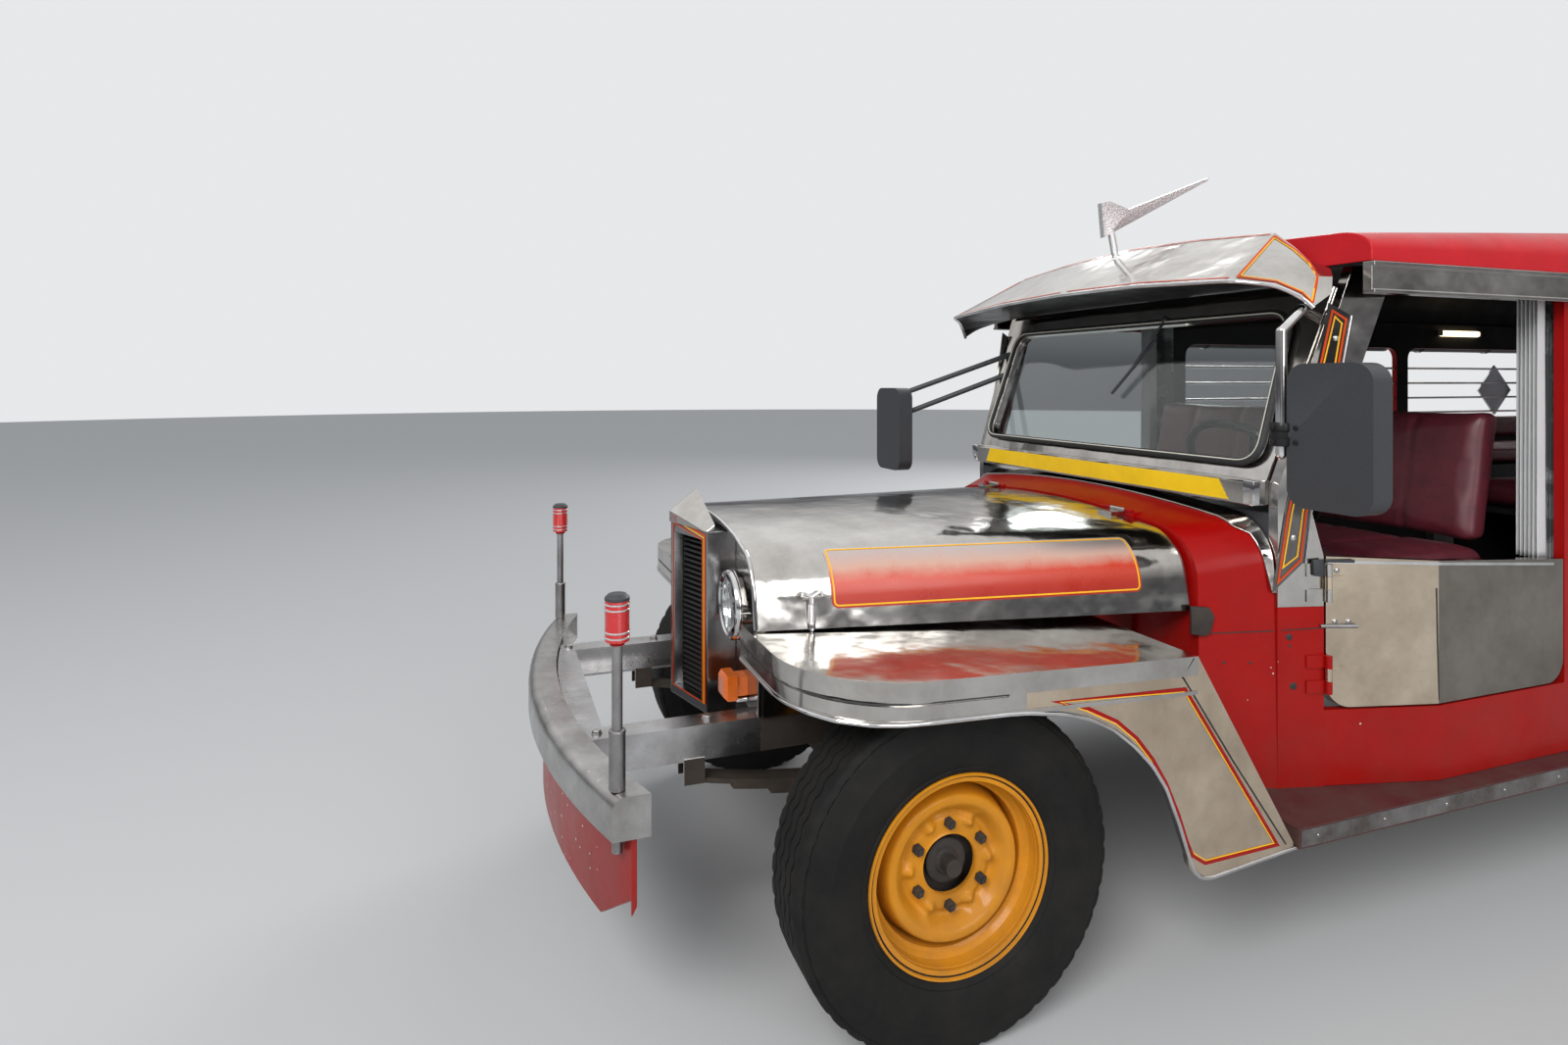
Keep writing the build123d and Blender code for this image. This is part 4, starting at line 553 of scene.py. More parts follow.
print("turned bodies and bars ready")

# %% Sheets, blocks and painted lines


def thickened(bm, way):
    """Pushes the faces out into a sheet of some thickness."""
    grown = bmesh.ops.extrude_face_region(bm, geom=bm.faces[:])["geom"]
    bmesh.ops.translate(bm, verts=[item for item in grown if isinstance(item, bmesh.types.BMVert)], vec=way)
    return bm


def slab(outline, thickness):
    """A sheet cut to an outline, with a vector for its thickness."""
    bm = bmesh.new()
    bm.faces.new([bm.verts.new(point) for point in outline])
    return outward(thickened(bm, thickness))


def softened(bm, radius, segments):
    """Every edge rounded."""
    bmesh.ops.bevel(bm, geom=bm.edges[:], offset=radius, segments=segments, affect="EDGES", profile=0.5,
                    material=-1)
    return smooth(bm, 40)


def block(low, high, radius):
    """A block between two corners, with its edges rounded."""
    bm = bmesh.new()
    bmesh.ops.create_cube(bm, size=1.0)
    bmesh.ops.scale(bm, verts=bm.verts, vec=high - low)
    bmesh.ops.translate(bm, verts=bm.verts, vec=(low + high) / 2)
    return softened(bm, radius, 3)


def ribbon(path, normal, width, closed=False, lift=0.0005, film=0.0006):
    """A painted line or a thin strip of even width on a flat face."""
    normal = Vector(normal).normalized()
    bm = bmesh.new()
    spine = [bm.verts.new(point) for point in path]
    edges = [bm.edges.new(pair) for pair in zip(spine, spine[1:] + (spine[:1] if closed else []))]
    spots = []
    for index, point in enumerate(path):
        turns = []
        if index or closed:
            turns.append(normal.cross((point - path[index - 1]).normalized()))
        if index < len(path) - 1 or closed:
            turns.append(normal.cross((path[(index + 1) % len(path)] - point).normalized()))
        middle = sum(turns, Vector()).normalized()
        spots.append(middle * width / 2 / max(0.4, middle.dot(turns[0])))
    grown = bmesh.ops.extrude_edge_only(bm, edges=edges)["geom"]
    for vert in [item for item in grown if isinstance(item, bmesh.types.BMVert)]:
        index = min(range(len(path)), key=lambda k: (path[k] - vert.co).length_squared)
        vert.co = path[index] + spots[index] + normal * lift
    for vert, point, spot in zip(spine, path, spots):
        vert.co = point - spot + normal * lift
    return outward(thickened(bm, normal * film))


def other_side(points):
    """The same points on the right side."""
    return [Vector((point.x, -point.y, point.z)) for point in points]


def stripe(name, path, normal, width, material, closed=False, both=False):
    """A painted line as a piece, on the left side or on both."""
    parts = [ribbon(path, normal, width / 1000, closed)]
    if both:
        parts.append(ribbon(other_side(path), other_side([normal])[0], width / 1000, closed))
    return put(name, parts, material)


def cut(bm, place, way, **more):
    """Cuts a bmesh across with a plane."""
    return bmesh.ops.bisect_plane(bm, geom=bm.verts[:] + bm.edges[:] + bm.faces[:], plane_co=place, plane_no=way,
                                  **more)


def reshape(piece, change):
    """Changes a piece by a function of its bmesh."""
    bm = bmesh.new()
    bm.from_mesh(piece.data)
    change(bm)
    smooth(bm).to_mesh(piece.data)
    bm.free()


print("makers ready")

# %% [markdown]
# ## Placing by sight
# Painted lines are easiest to place by where the photograph shows them. A line of sight runs from
# the camera through a spot of the picture until it meets the solid that carries the line, so the
# line lies on that solid and looks right from any side.

# %% Lines of sight
sight_trees = {}


def tree_of(node):
    """A search tree of a solid's faces."""
    if node not in sight_trees:
        bm = bmesh.new()
        bm.from_mesh(nodes[node].data)
        sight_trees[node] = BVHTree.FromBMesh(bm)
        bm.free()
    return sight_trees[node]


def sight_ray(across, down):
    """The direction from the camera through a spot of the picture."""
    look = camera_look.normalized()
    ray = look + look.cross(Vector(up)) * (across - photo_width / 2) / focal_pixels
    ray.z -= (down - level_line) / focal_pixels
    return ray


def sight_hit(names, spot):
    """The first place that a line of sight meets on some solids, and the way it faces."""
    ray = sight_ray(*spot)
    found = [tree_of(name).ray_cast(camera_place, ray)[:2] for name in names]
    place, normal = min([pair for pair in found if pair[0]], key=lambda pair: (pair[0] - camera_place).length)
    return place, normal if normal.dot(ray) < 0 else -normal


def seen_on(node, spots):
    """Places on a solid behind or beside spots of the picture, and the way it faces."""
    places = []
    facing = Vector()
    for spot in spots:
        ray = sight_ray(*spot)
        place, normal, _, _ = tree_of(node).ray_cast(camera_place, ray)
        if place is None:
            depth = (places[-1] - camera_place).dot(camera_look.normalized()) if places else 2.5
            place, normal, _, gap = tree_of(node).find_nearest(camera_place + ray * depth)
            assert gap < 0.03, "the line of sight misses the solid"
        places.append(place)
        facing += normal if normal.dot(ray) < 0 else -normal
    return places, facing.normalized()


def on_plane(spots, place, normal):
    """Places of the plane through a place, behind spots of the picture."""
    rays = [sight_ray(*spot) for spot in spots]
    return [camera_place + ray * ((place - camera_place).dot(normal) / ray.dot(normal)) for ray in rays]


def on_sheet(names, spots, out):
    """Places behind spots of the picture, stood off the sheet by some millimetres."""
    hits = [sight_hit(names, spot) for spot in spots]
    return [place + normal * out / 1000 for place, normal in hits], hits[0][1]


print("sight ready")

# %% [markdown]
# ## Wheels
# A truck wheel is two pressings: a rolled rim with flanges and a drop centre, and a stamped disc
# with a crown ring, a valley and a raised face round the hub, stiffened by ribs between the studs.
# Both are spun from their sections, and the disc's points are then pressed out by a smooth
# function of radius and angle, so that the ribs fade into the valley as metal does.

# %% Sections and makers of the wheels
wheel_steps = 144
rib_count = 6
disc_sheet = 8.0
hub_height = axle_z * 1000
rim_profile = [
    # radius, distance outward from the mid-plane
    (225.0, 78.0), (223.0, 81.5), (219.0, 81.0), (216.5, 72.0), (210.0, 67.0), (203.0, 64.0), (200.0, 40.0),
    (194.0, 32.0), (184.0, 26.0), (182.0, 18.0), (182.0, -22.0), (196.0, -38.0), (197.5, -80.0), (206.0, -82.0),
    (225.0, -82.0), (225.0, -76.0), (204.7, -74.0), (204.7, -46.0), (191.0, -30.0), (191.0, 30.0), (204.7, 46.0),
    (204.7, 74.0), (225.0, 76.0),
]
disc_radii = [66, 68, 70, 73, 78, 84, 90, 96, 101, 106, 111, 116, 121, 126, 131, 136, 141, 146, 151, 156, 160, 164,
              168, 172, 176, 180, 183]


def smooth_step(value, low, high):
    """Rises smoothly from 0 to 1."""
    share = min(1.0, max(0.0, (value - low) / (high - low)))
    return share * share * (3 - 2 * share)


def disc_height(radius, angle):
    """How far the stamped disc stands out from its bolting face, in millimetres."""
    crown = 25.0 * smooth_step(radius, 116, 146) * (1 - smooth_step(radius, 158, 176))
    fall = -46.0 * smooth_step(radius, 164, 186)
    valley = -9.0 * smooth_step(radius, 98, 112) * (1 - smooth_step(radius, 114, 128))
    ribs = 15.0 * max(0.0, cos(rib_count * angle)) ** 3
    ribs *= smooth_step(radius, 84, 100) * (1 - smooth_step(radius, 108, 138))
    lip = 3.0 * (1 - smooth_step(radius, 66, 72))
    return crown + fall + valley + ribs + lip


def spun(profile, x, y, side, steps=wheel_steps, closed=True):
    """A ring or body on a wheel's axis."""
    return turned(profile, at(x, side * y, hub_height), (0, side, 0), steps, closed)


def disc(x, y, side):
    """A stamped disc: a flat washer is spun, and its points are pressed out to their heights."""
    bm = spun([(radius, 0.0) for radius in disc_radii] + [(radius, -disc_sheet) for radius in reversed(disc_radii)],
              x, y, side)
    centre = at(x, side * y, hub_height)
    for vert in bm.verts:
        away = vert.co - centre
        radius = (away.x ** 2 + away.z ** 2) ** 0.5 * 1000
        vert.co.y += side * disc_height(radius, atan2(away.z, away.x)) / 1000
    return smooth(bm, 40)


def stud_nuts(x, y, side):
    """Six hexagon nuts on the stud circle, each with a rounded crown and a stud end."""
    parts = []
    for index in range(6):
        angle = radians(30 + 60 * index)
        place = at(x + 92 * cos(angle), side * y, hub_height + 92 * sin(angle))
        parts.append(turned([(0, 0), (13.0, 0), (13.0, 13), (10.5, 16.5), (0, 16.5)], place, (0, side, 0), 6))
        parts.append(turned([(0, 14), (6.0, 14), (6.0, 20), (0, 21)], place, (0, side, 0), 10))
    return parts

print("rim of", len(rim_profile), "points, disc of", 2 * len(disc_radii))

# %% Press the wheels
wheel_rows = [
    # wheel, tyre, place along, mid-planes of the rims, bolting face, hub's face, hub's section
    ("front_{}_wheel", "front_{}_tyre", 0, (718.0,), 740, 740,
     [(0, -66), (150, -66), (150, -52), (64, -30), (50, -28), (50, -12), (44, -8), (30, -8), (26, -2), (0, -2)]),
    ("rear_{}_wheels", "rear_{}_tyres", rear_x, (720.0, 508.0), 660, 614,
     [(0, -160), (118, -160), (118, 0), (80, 30), (62, 36), (62, 104), (56, 111), (0, 111)]),
]
for wheel, tyre, x, middles, face_y, hub_y, hub in wheel_rows:
    for side, word in sides:
        body = wheel.format(word)
        pressed = [spun(rim_profile, x, y, side) for y in middles] + [disc(x, face_y, side)]
        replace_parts(put(f"{body}_pressed", pressed, "wheel_paint", body), body)
        put(f"{body}_nuts", stud_nuts(x, face_y - 1, side), "cast_iron", body)
        put(f"{body}_hub", spun(hub, x, hub_y, side, 72, False), "cast_iron", body)
print("wheels pressed")

# %% [markdown]
# ## Tyres
# The section of a tyre is a bead, a bulging wall, a shoulder and a nearly flat tread. This worn
# highway tread has long zigzag grooves round it and short notches at the shoulder. The section is
# spun with enough steps for the zigzag, and the groove's points then swing from side to side.

# %% Mould the tyres
tread_steps = 192
zigzag_steps = 4
groove_half, groove_depth = 3.6, 8.0
tyre_wall = [
    # radius, half width: bead, rim guard, bulge, decorative ribs, shoulder
    (205.0, 62.0), (208.0, 71.0), (215.0, 75.5), (226.0, 77.5), (230.0, 82.0), (238.0, 86.0), (241.0, 84.0),
    (254.0, 90.5), (272.0, 95.0), (292.0, 97.6), (312.0, 97.9), (318.0, 98.6), (322.0, 96.8), (340.0, 93.5),
    (356.0, 89.0), (369.0, 84.5), (372.0, 81.0), (376.0, 82.5), (382.0, 79.5), (387.0, 74.5), (389.2, 68.0),
]
tyre_section = list(tyre_wall)
for middle in (44.0, 15.0, -15.0, -44.0):
    tyre_section += [(389.8, middle + groove_half), (389.8 - groove_depth, middle + groove_half / 2),
                     (389.8 - groove_depth, middle - groove_half / 2), (389.8, middle - groove_half)]
tyre_section += [(radius, -half) for radius, half in reversed(tyre_wall)]


def moulded(x, y, side):
    """A spun tyre whose grooves are swung into a zigzag and whose shoulders are notched."""
    centre = at(x, side * y, hub_height)
    bm = spun(tyre_section, x, y, side, tread_steps)
    for vert in bm.verts:
        away = vert.co - centre
        radius = (away.x ** 2 + away.z ** 2) ** 0.5
        step = round(atan2(away.z, away.x) / (2 * pi) * tread_steps)
        if abs(away.y) < 0.052 and radius > 0.37:
            vert.co.y += 0.0036 * (1 if (step // 2) % 2 else -1)
        elif 0.3725 < radius < 0.3895 and step % zigzag_steps == 0:
            shrink = 1 - 0.004 / radius
            vert.co.x = centre.x + away.x * shrink
            vert.co.z = centre.z + away.z * shrink
    return smooth(bm, 28)


for side, word in sides:
    for wheel, tyre, x, middles, _, _, _ in wheel_rows:
        node = tyre.format(word)
        tyres = [moulded(x, y, side) for y in middles]
        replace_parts(put(f"{node}_moulded", tyres, "tyre_rubber", wheel.format(word)), node)
print("tyres moulded")

# %% [markdown]
# ## Grille and nose
# The grille is a prow of pressed louvres in a polished frame. Thin enamel lines run along the frame
# beside the louvres, orange-red with a yellow one inside. Each line lies on the flat face of the
# prow, whose outward normal comes from the prow's corner and side points.

# %% Lines on the grille
prow_x, grille_side_x, grille_half = 476.0, 421.0, 200.0


def on_prow(side, *spots):
    """Places (across, up) on one face of the prow."""
    return [at(prow_x - (prow_x - grille_side_x) * y / grille_half, side * y, z) for y, z in spots]


def top_at(y):
    """Height of the sloping top border's middle."""
    return 1096 - 32 * y / grille_half


for side, word in sides:
    along = (at(grille_side_x, side * grille_half, 0) - at(prow_x, 0, 0)).normalized()
    out = along.cross(Vector((0, 0, side))).normalized()
    out = out if out.x > 0 else -out
    for inset, width, paint, label in ((0.0, 6.0, "border_orange", "red"), (6.5, 3.5, "stripe_yellow", "yellow")):
        line = on_prow(side, (190 - inset, 586), (190 - inset, top_at(190) - 8 - inset), (10, top_at(10) - 8 - inset))
        stripe(f"grille_{label}_line_{word}", line, out, width, paint)
    inner = on_prow(side, (176.5, 606), (176.5, top_at(176) - 24), (14, top_at(14) - 24), (14, 606))
    stripe(f"grille_inner_line_{word}", inner, out, 3.5, "border_orange", True)
    foot = slab(on_prow(side, (198, 583), (198, 603), (4, 603), (4, 583)), out * 0.0012)
    put(f"grille_foot_band_{word}", foot, "dark_plastic")
print("grille lines painted")

# %% [markdown]
# ## Lamps
# A sealed headlamp has a silvered bowl with a bulb shield in it and a fluted lens. The bowl is a
# spun shell behind the clear lens, so that light bends in the lens and comes back from the bowl.
# Each corner pole carries a red lamp with silver rings and a dark cap, spun so that they stand proud.

# %% Headlamps and pole lamps
headlamp_parts = [
    # name, finish, steps, closed, section
    ("headlamp_bowl", "mirror_glass", 64, False, [(0, -62), (26, -60), (48, -50), (64, -34), (73, -12), (73, -9),
                                                  (70, -9), (60, -32), (45, -46), (25, -56), (0, -58)]),
    ("bulb_shield", "chrome", 32, False, [(0, -22), (15, -24), (17, -34), (16, -34), (13, -27), (0, -25)]),
    ("headlamp_ring", "chrome", 72, True, [(75, 2), (80, 6), (86, 5), (90, -2), (90, -7), (84, -7), (79, -2),
                                           (75, -1)]),
]
pole_parts = [
    # name, finish, slot, steps, closed, section
    ("lamp_cap", "dark_plastic", "red_lens", 48, False, [(0, 1041.6), (16.5, 1041.4), (18.5, 1040.6), (25.4, 1034),
                                                         (25.6, 1029), (25.1, 1028)]),
    ("pole_collar", "steel_plate", "stainless", 32, True, [(11.2, 757), (17.6, 757), (18.0, 759), (16.5, 763),
                                                           (12.0, 765), (11.2, 765)]),
    ("lamp_ferrule", "red_paint", "red_lens", 32, True, [(11.1, 937), (15, 937), (17, 944.6), (11.1, 944.6)]),
]
for side, word in sides:
    for name, material, steps, closed, section in headlamp_parts:
        put(f"{name}_{word}", turned(section, at(388, side * 300, 897), ahead, steps, closed), material)
    foot = block(at(341, side * 284 - 30, 645), at(371, side * 284 + 30, 655), 0.003)
    put(f"signal_foot_{word}", foot, "chrome")
for side, word in sides:
    pole = at(730, side * 671, 0)
    rings = [turned([(25.0, z), (25.9, z + 0.6), (25.9, z + 3.4), (25.0, z + 4.0)], pole, up, 48, True)
             for z in (951, 962, 1008, 1019)]
    put(f"lamp_rings_{word}", rings, "chrome")
    for name, material, slot, steps, closed, section in pole_parts:
        put(f"{name}_{word}", turned(section, pole, up, steps, closed), material)
print("lamps dressed")

# %% [markdown]
# ## Bumper and front frame
# The frame's horns and the deck plate behind the bumper are bare worn steel, bolted down, while the
# chassis further back is black. The valance is cut short of the fender and chipped by stones.

# %% Bare steel ahead of the nose
bare_x, valance_end_x = 330, 694
rail_top_low, deck_top = 0.525, 630.1
reshape(pieces["frame_rails"], lambda bm: cut(bm, at(bare_x, 0, 0), ahead))
tone(pieces["frame_rails"], "bare_steel", lambda centre, normal: (
    centre.x > at(bare_x, 0, 0).x and centre.z > rail_top_low))
head = [(0, 0), (13, 0), (13, 2), (11.5, 2.4), (11, 7), (8, 9.5), (0, 9.8)]
heads = [turned(head, at(x, y, deck_top), up, 6) for x in (460, 731) for y in (-350, 350)]
put("deck_bolt_heads", heads, "worn_stainless")


def shorten(bm):
    """Cuts the valance's return off and closes it."""
    rim = cut(bm, at(valance_end_x, 0, 0), ahead, clear_inner=True)["geom_cut"]
    bmesh.ops.holes_fill(bm, edges=[item for item in rim if isinstance(item, bmesh.types.BMEdge)])
    outward(bm)


reshape(pieces["bumper_valance"], shorten)
print("front frame bared,", len(heads), "bolts")

# %% Chips in the valance


def scattered(place_of, count, seed, low, high):
    """Small flat irregular flecks at seeded places on a surface given by a function."""
    noise.seed_set(seed)
    parts = []
    for index in range(count):
        pick = noise.random_unit_vector()
        spot, normal = place_of((pick.x + 1) / 2, (pick.y + 1) / 2)
        bm = bmesh.new()
        bmesh.ops.create_circle(bm, cap_ends=True, segments=7, radius=low + (high - low) * abs(pick.z))
        for vert in bm.verts:
            vert.co *= 0.6 + 0.5 * abs(noise.random_unit_vector().x)
        turn = Vector(up).rotation_difference(normal).to_matrix()
        for vert in bm.verts:
            vert.co = spot + normal * 0.0003 + turn @ vert.co
        parts.append(outward(thickened(bm, normal * 0.0004)))
    return parts


bow_sag = 123.0
bow_radius = (710.0 ** 2 + bow_sag ** 2) / (2 * bow_sag)


def valance_place(u, v):
    """A place on the front of the valance."""
    y = 40 + u * 520
    x = 868 - 40 - bow_radius + (bow_radius ** 2 - y ** 2) ** 0.5
    return at(x, y, 345 + v * 190), Vector(((bow_radius ** 2 - y ** 2) ** 0.5, y, 0)).normalized()


put("valance_chips", scattered(valance_place, 26, 4, 0.0012, 0.0035), "cream")
print("chips scattered")

# %% [markdown]
# ## The hood's painted panel
# A film that fades from silver to orange-red is wrapped round the hood's shoulder, inside a thin
# gold line. A flat sheet with rounded corners is cut into strips, and every point is then laid on
# the hood's own section, a flat side that runs into an arc, so the film follows the metal.

# %% The hood's section
hood_front_x, hood_rear_x = 370.0, -820.0


def circle_through(a, b, c):
    """Centre and radius of the circle through three points of a plane."""
    d = 2 * (a[0] * (b[1] - c[1]) + b[0] * (c[1] - a[1]) + c[0] * (a[1] - b[1]))
    sa, sb, sc = [p[0] ** 2 + p[1] ** 2 for p in (a, b, c)]
    x = (sa * (b[1] - c[1]) + sb * (c[1] - a[1]) + sc * (a[1] - b[1])) / d
    y = (sa * (c[0] - b[0]) + sb * (a[0] - c[0]) + sc * (b[0] - a[0])) / d
    return x, y, ((a[0] - x) ** 2 + (a[1] - y) ** 2) ** 0.5


def hood_spot(x, climb):
    """A place on the hood's left shoulder, by how far it lies above the foot of the arc."""
    share = (hood_front_x - x) / (hood_front_x - hood_rear_x)
    half, top, bottom = 478 + 135 * share, 1098 - 8 * share, 874 - 22 * share
    foot = (half - 12, top - 150)
    if climb <= 0:
        run = Vector((half - foot[0], bottom - foot[1])).normalized()
        spot = Vector(foot) - run * climb
        return at(x, spot.x, spot.y), Vector((0, -run.y, run.x))
    cy, cz, radius = circle_through(foot, (half - 42, top - 82), (half - 130, top - 32))
    angle = atan2(foot[1] - cz, foot[0] - cy) + climb / radius
    return at(x, cy + radius * cos(angle), cz + radius * sin(angle)), Vector((0, cos(angle), sin(angle)))


def hood_film(lift, line=None):
    """A thin film, or only a line along its edge, wrapped on the hood."""
    front, rear, low, high = 180, -680, -32, 128
    bm = bmesh.new()
    bm.faces.new([bm.verts.new((x, climb, 0)) for x, climb in (
        (front, low), (front, high), (rear, high), (rear, low))])
    bmesh.ops.bevel(bm, geom=bm.verts[:], offset=18, segments=6, affect="VERTICES", profile=0.5, material=-1)
    if line:
        rims = [bmesh.ops.inset_region(bm, faces=bm.faces[:], thickness=line[0], use_even_offset=True,
                                       use_boundary=True)["faces"]]
        bmesh.ops.delete(bm, geom=rims[0], context="FACES")
        ring = bmesh.ops.inset_region(bm, faces=bm.faces[:], thickness=line[1], use_even_offset=True,
                                      use_boundary=True)["faces"]
        bmesh.ops.delete(bm, geom=[face for face in bm.faces if face not in ring], context="FACES")
    thickened(bm, (0, 0, 0.0006))
    for climb in range(low, high, 6):
        cut(bm, (0, climb, 0), (0, 1, 0))
    for x in range(rear, front, 40):
        cut(bm, (x, 0, 0), ahead)
    for vert in bm.verts:
        place, away = hood_spot(vert.co.x, vert.co.y)
        vert.co = place + away * (lift + vert.co.z)
    return smooth(outward(bm), 30)

print("the hood's section runs from", hood_front_x, "to", hood_rear_x)

# %% The fading film and its gold line
film_fade = finish("film_fade", (0.7, 0.2, 0.1), 0.28, 0.0, Coat_Weight=0.15, Coat_Roughness=0.10)
tree = film_fade.node_tree
wear = grained_with(film_fade, (0, 0, 0), (1, 1, 1), 11.0, 1.0)["Height"]
height = add(tree, "ShaderNodeSeparateXYZ", Vector=object_place(tree)).outputs["Z"]
height = maths(tree, "ADD", height, maths(tree, "MULTIPLY", wear, 0.030))
level = add(tree, "ShaderNodeMapRange", Value=height, From_Min=0.925, From_Max=1.085)
fade = ramp(tree, level.outputs[0], (0.0, 0.33, 0.010, 0.004), (0.42, 0.50, 0.034, 0.008), (0.62, 0.60, 0.36, 0.28),
            (0.92, 0.56, 0.56, 0.57))
gleam = add(tree, "ShaderNodeMapRange", Value=height, From_Min=1.0, From_Max=1.05, To_Max=0.75)
shade(film_fade, Base_Color=fade.outputs["Color"], Metallic=gleam.outputs[0])
vary_roughness(film_fade, wear, 0.22, 0.40)
put("hood_film", hood_film(0.0006), "film_fade", "hood", True)
put("hood_film_line", hood_film(0.0016, (5.0, 4.0)), "stripe_yellow", "hood", True)
print("hood film wrapped")

# %% [markdown]
# ## The hood's edges and fastenings
# The front edge of the hood is rolled over a wire, and a spring catch on each side pulls the hood
# down on the fender: a rod with a coil spring round it and a handle with two curled ends.

# %% Rolled edge and side catches
route = []
for climb in (-72, -40, -5, 0, 18, 36, 54, 72, 90, 108, 122):
    spot, away = hood_spot(hood_front_x, climb)
    route.append(spot - away * 0.002 + Vector((0.001, 0, 0)))
route += [at(hood_front_x + 1, y, 1098 - 2 - 32 * (y / 348) ** 2) for y in (300, 240, 180, 120, 60, 0)]
put("hood_rolled_edge", bar(route + other_side(route[-2::-1]), 0.0055), "chrome", "hood")

coil_turns, coil_steps = 11, 12
catch = at(235, 497, 0)
catch_parts = [turned([(0, low), (radius, low), (radius, high), (0, high)], catch, up, 20)
               for radius, low, high in ((5.0, 868, 946), (8.5, 872, 884), (9.0, 936, 948))]
spring = [catch + Vector((0.0088 * cos(2 * pi * k / coil_steps), 0.0088 * sin(2 * pi * k / coil_steps),
                          0.886 + 0.048 * k / (coil_turns * coil_steps))) for k in range(coil_turns * coil_steps + 1)]
handle = [catch + Vector(spot) for spot in ((-0.026, 0.006, 0.952), (-0.022, 0.0, 0.962), (0, 0, 0.950),
                                            (0.022, 0.0, 0.962), (0.026, 0.006, 0.952))]
catch_parts += [bar(spring, 0.0018, 2), bar(rounded(handle, 0.004), 0.0045)]
put("hood_catches", catch_parts, "chrome", both=True)
print("hood edge rolled, catches hung")

# %% [markdown]
# ## Fender trim
# The skirt behind the wheel carries a red enamel outline with a gold line inside it. The fender's
# lip is two folded bands with a dark joint, and its lower edge is rolled over a wire.

# %% Enamel on the skirt
skirt_x, skirt_out, skirt_top = -105, 0.87, 0.76
panel = [(1076.4, 716.0), (1209.4, 702.9), (1303.3, 861.6), (1229.5, 880.5), (1217, 873), (1211, 858), (1203, 832),
         (1190, 799), (1176, 774), (1160, 753), (1140, 736), (1110, 722.5)]
places, facing = seen_on("front_fenders", panel)
stripe("fender_red_line", places, facing, 8, "red_paint", True, True)
middle = sum(places, Vector()) / len(places)
inner = []
for index, place in enumerate(places):
    before = (place - places[index - 1]).normalized()
    after = (places[(index + 1) % len(places)] - place).normalized()
    inward = (facing.cross(before) + facing.cross(after)).normalized()
    inward = inward if inward.dot(middle - place) > 0 else -inward
    inner.append(place + inward * 0.0062 / max(0.45, abs(inward.dot(facing.cross(after)))))
stripe("fender_gold_line", inner, facing, 2.8, "stripe_yellow", True, True)
reshape(pieces["front_fenders"], lambda bm: cut(bm, at(skirt_x, 0, 0), ahead))
# the skirt's outer face is tinted warm: a painted warm reflection
tone(pieces["front_fenders"], "warm_steel", lambda centre, normal: (
    abs(normal.y) > 0.8 and abs(centre.y) > skirt_out and centre.z < skirt_top
    and centre.x < at(skirt_x, 0, 0).x))
for name, spots, width in (("skirt_joint", [(1207.5, 691.5), (1258, 776), (1312, 861)], 3.5),
                           ("skirt_mitre", [(1206, 692), (1218.5, 671.5)], 1.6)):
    stripe(name, *seen_on("front_fenders", spots), width, "seal_rubber", both=True)
roll = [at(x, y - 2, 858 + 0.0349 * x - 86) for x, y in (
    (385, 398), (385, 520), (385, 638), (378, 700), (352, 770), (312, 828), (250, 868), (190, 884), (120, 888),
    (0, 888), (-60, 888))]
roll += [at(x, 886, z) for x, z in (
    (-110, 766), (-200, 752), (-270, 731), (-330, 702), (-390, 655), (-440, 604), (-478, 548), (-515, 462),
    (-543, 384), (-563, 338), (-585, 322), (-612, 318), (-876, 340))]
put("fender_rolled_edge", bar(rounded(roll, 0.012, 3), 0.0048), "chrome", both=True)
print("skirt lined, fender edge rolled")

# %% [markdown]
# ## Windscreen and ledge
# The glass sits in a black rubber profile with a thin bright filler strip pressed into it. Both run
# round a rectangle with rounded corners that leans back with the frame, and the wiper hangs from
# above. Under the glass a folded ledge carries a yellow sign, kept blank, between end caps.

# %% Rubber profile, filler strip, wiper and sign
glass_low, glass_high = at(-1020, 0, 1242), at(-1169, 0, 1665)
glass_climb = (glass_high - glass_low).length * 1000
up_glass = (glass_high - glass_low).normalized()
out_glass = Vector((up_glass.z, 0, -up_glass.x))


def on_glass(*spots):
    """Places on the glass, in millimetres across, up the slope and outward."""
    return [glass_low + up_glass * climb / 1000 + Vector((0, y / 1000, 0)) + out_glass * out / 1000
            for y, climb, out in spots]


def glass_loop(inset, out):
    """A closed route round the glass."""
    low, high, top = 663 - inset, 647 - inset, glass_climb - inset
    corners = on_glass((0, inset, out), (low, inset, out), (high, top, out), (-high, top, out), (-low, inset, out),
                       (0, inset, out))
    return rounded(corners, 0.070 - inset / 1000, 8)


put("windscreen_rubber", bar(glass_loop(1, 16), 0.0105), "seal_rubber")
put("windscreen_filler", bar(glass_loop(4, 25), 0.0022, 2), "cream")
put("windscreen_wiper", [
    bar(on_glass((176, glass_climb - 2, 22), (172, glass_climb - 30, 30), (92, 300, 20)), 0.0045),
    bar(on_glass((150, 388, 12), (92, 300, 15), (12, 196, 12)), 0.0055),
    bar(on_glass((146, 386, 7), (8, 198, 7)), 0.0028),
    turned([(0, 0), (13, 0), (13, 9), (9, 14), (0, 14)], on_glass((176, glass_climb + 6, 17))[0], out_glass, 24),
], "dark_plastic")
sign = [at(-957, y, z) for y, z in ((-588, 1147), (612, 1147), (578, 1201), (-562, 1201))]
put("ledge_sign", slab(sign, Vector((0.0012, 0, 0))), "sign_yellow")
put("ledge_caps", [block(at(-1000, side * 676 - 18, 1139), at(-955.8, side * 676 + 18, 1207.2), 0.003)
                   for side in (1, -1)], "chrome")
print("windscreen sealed, sign and caps placed")

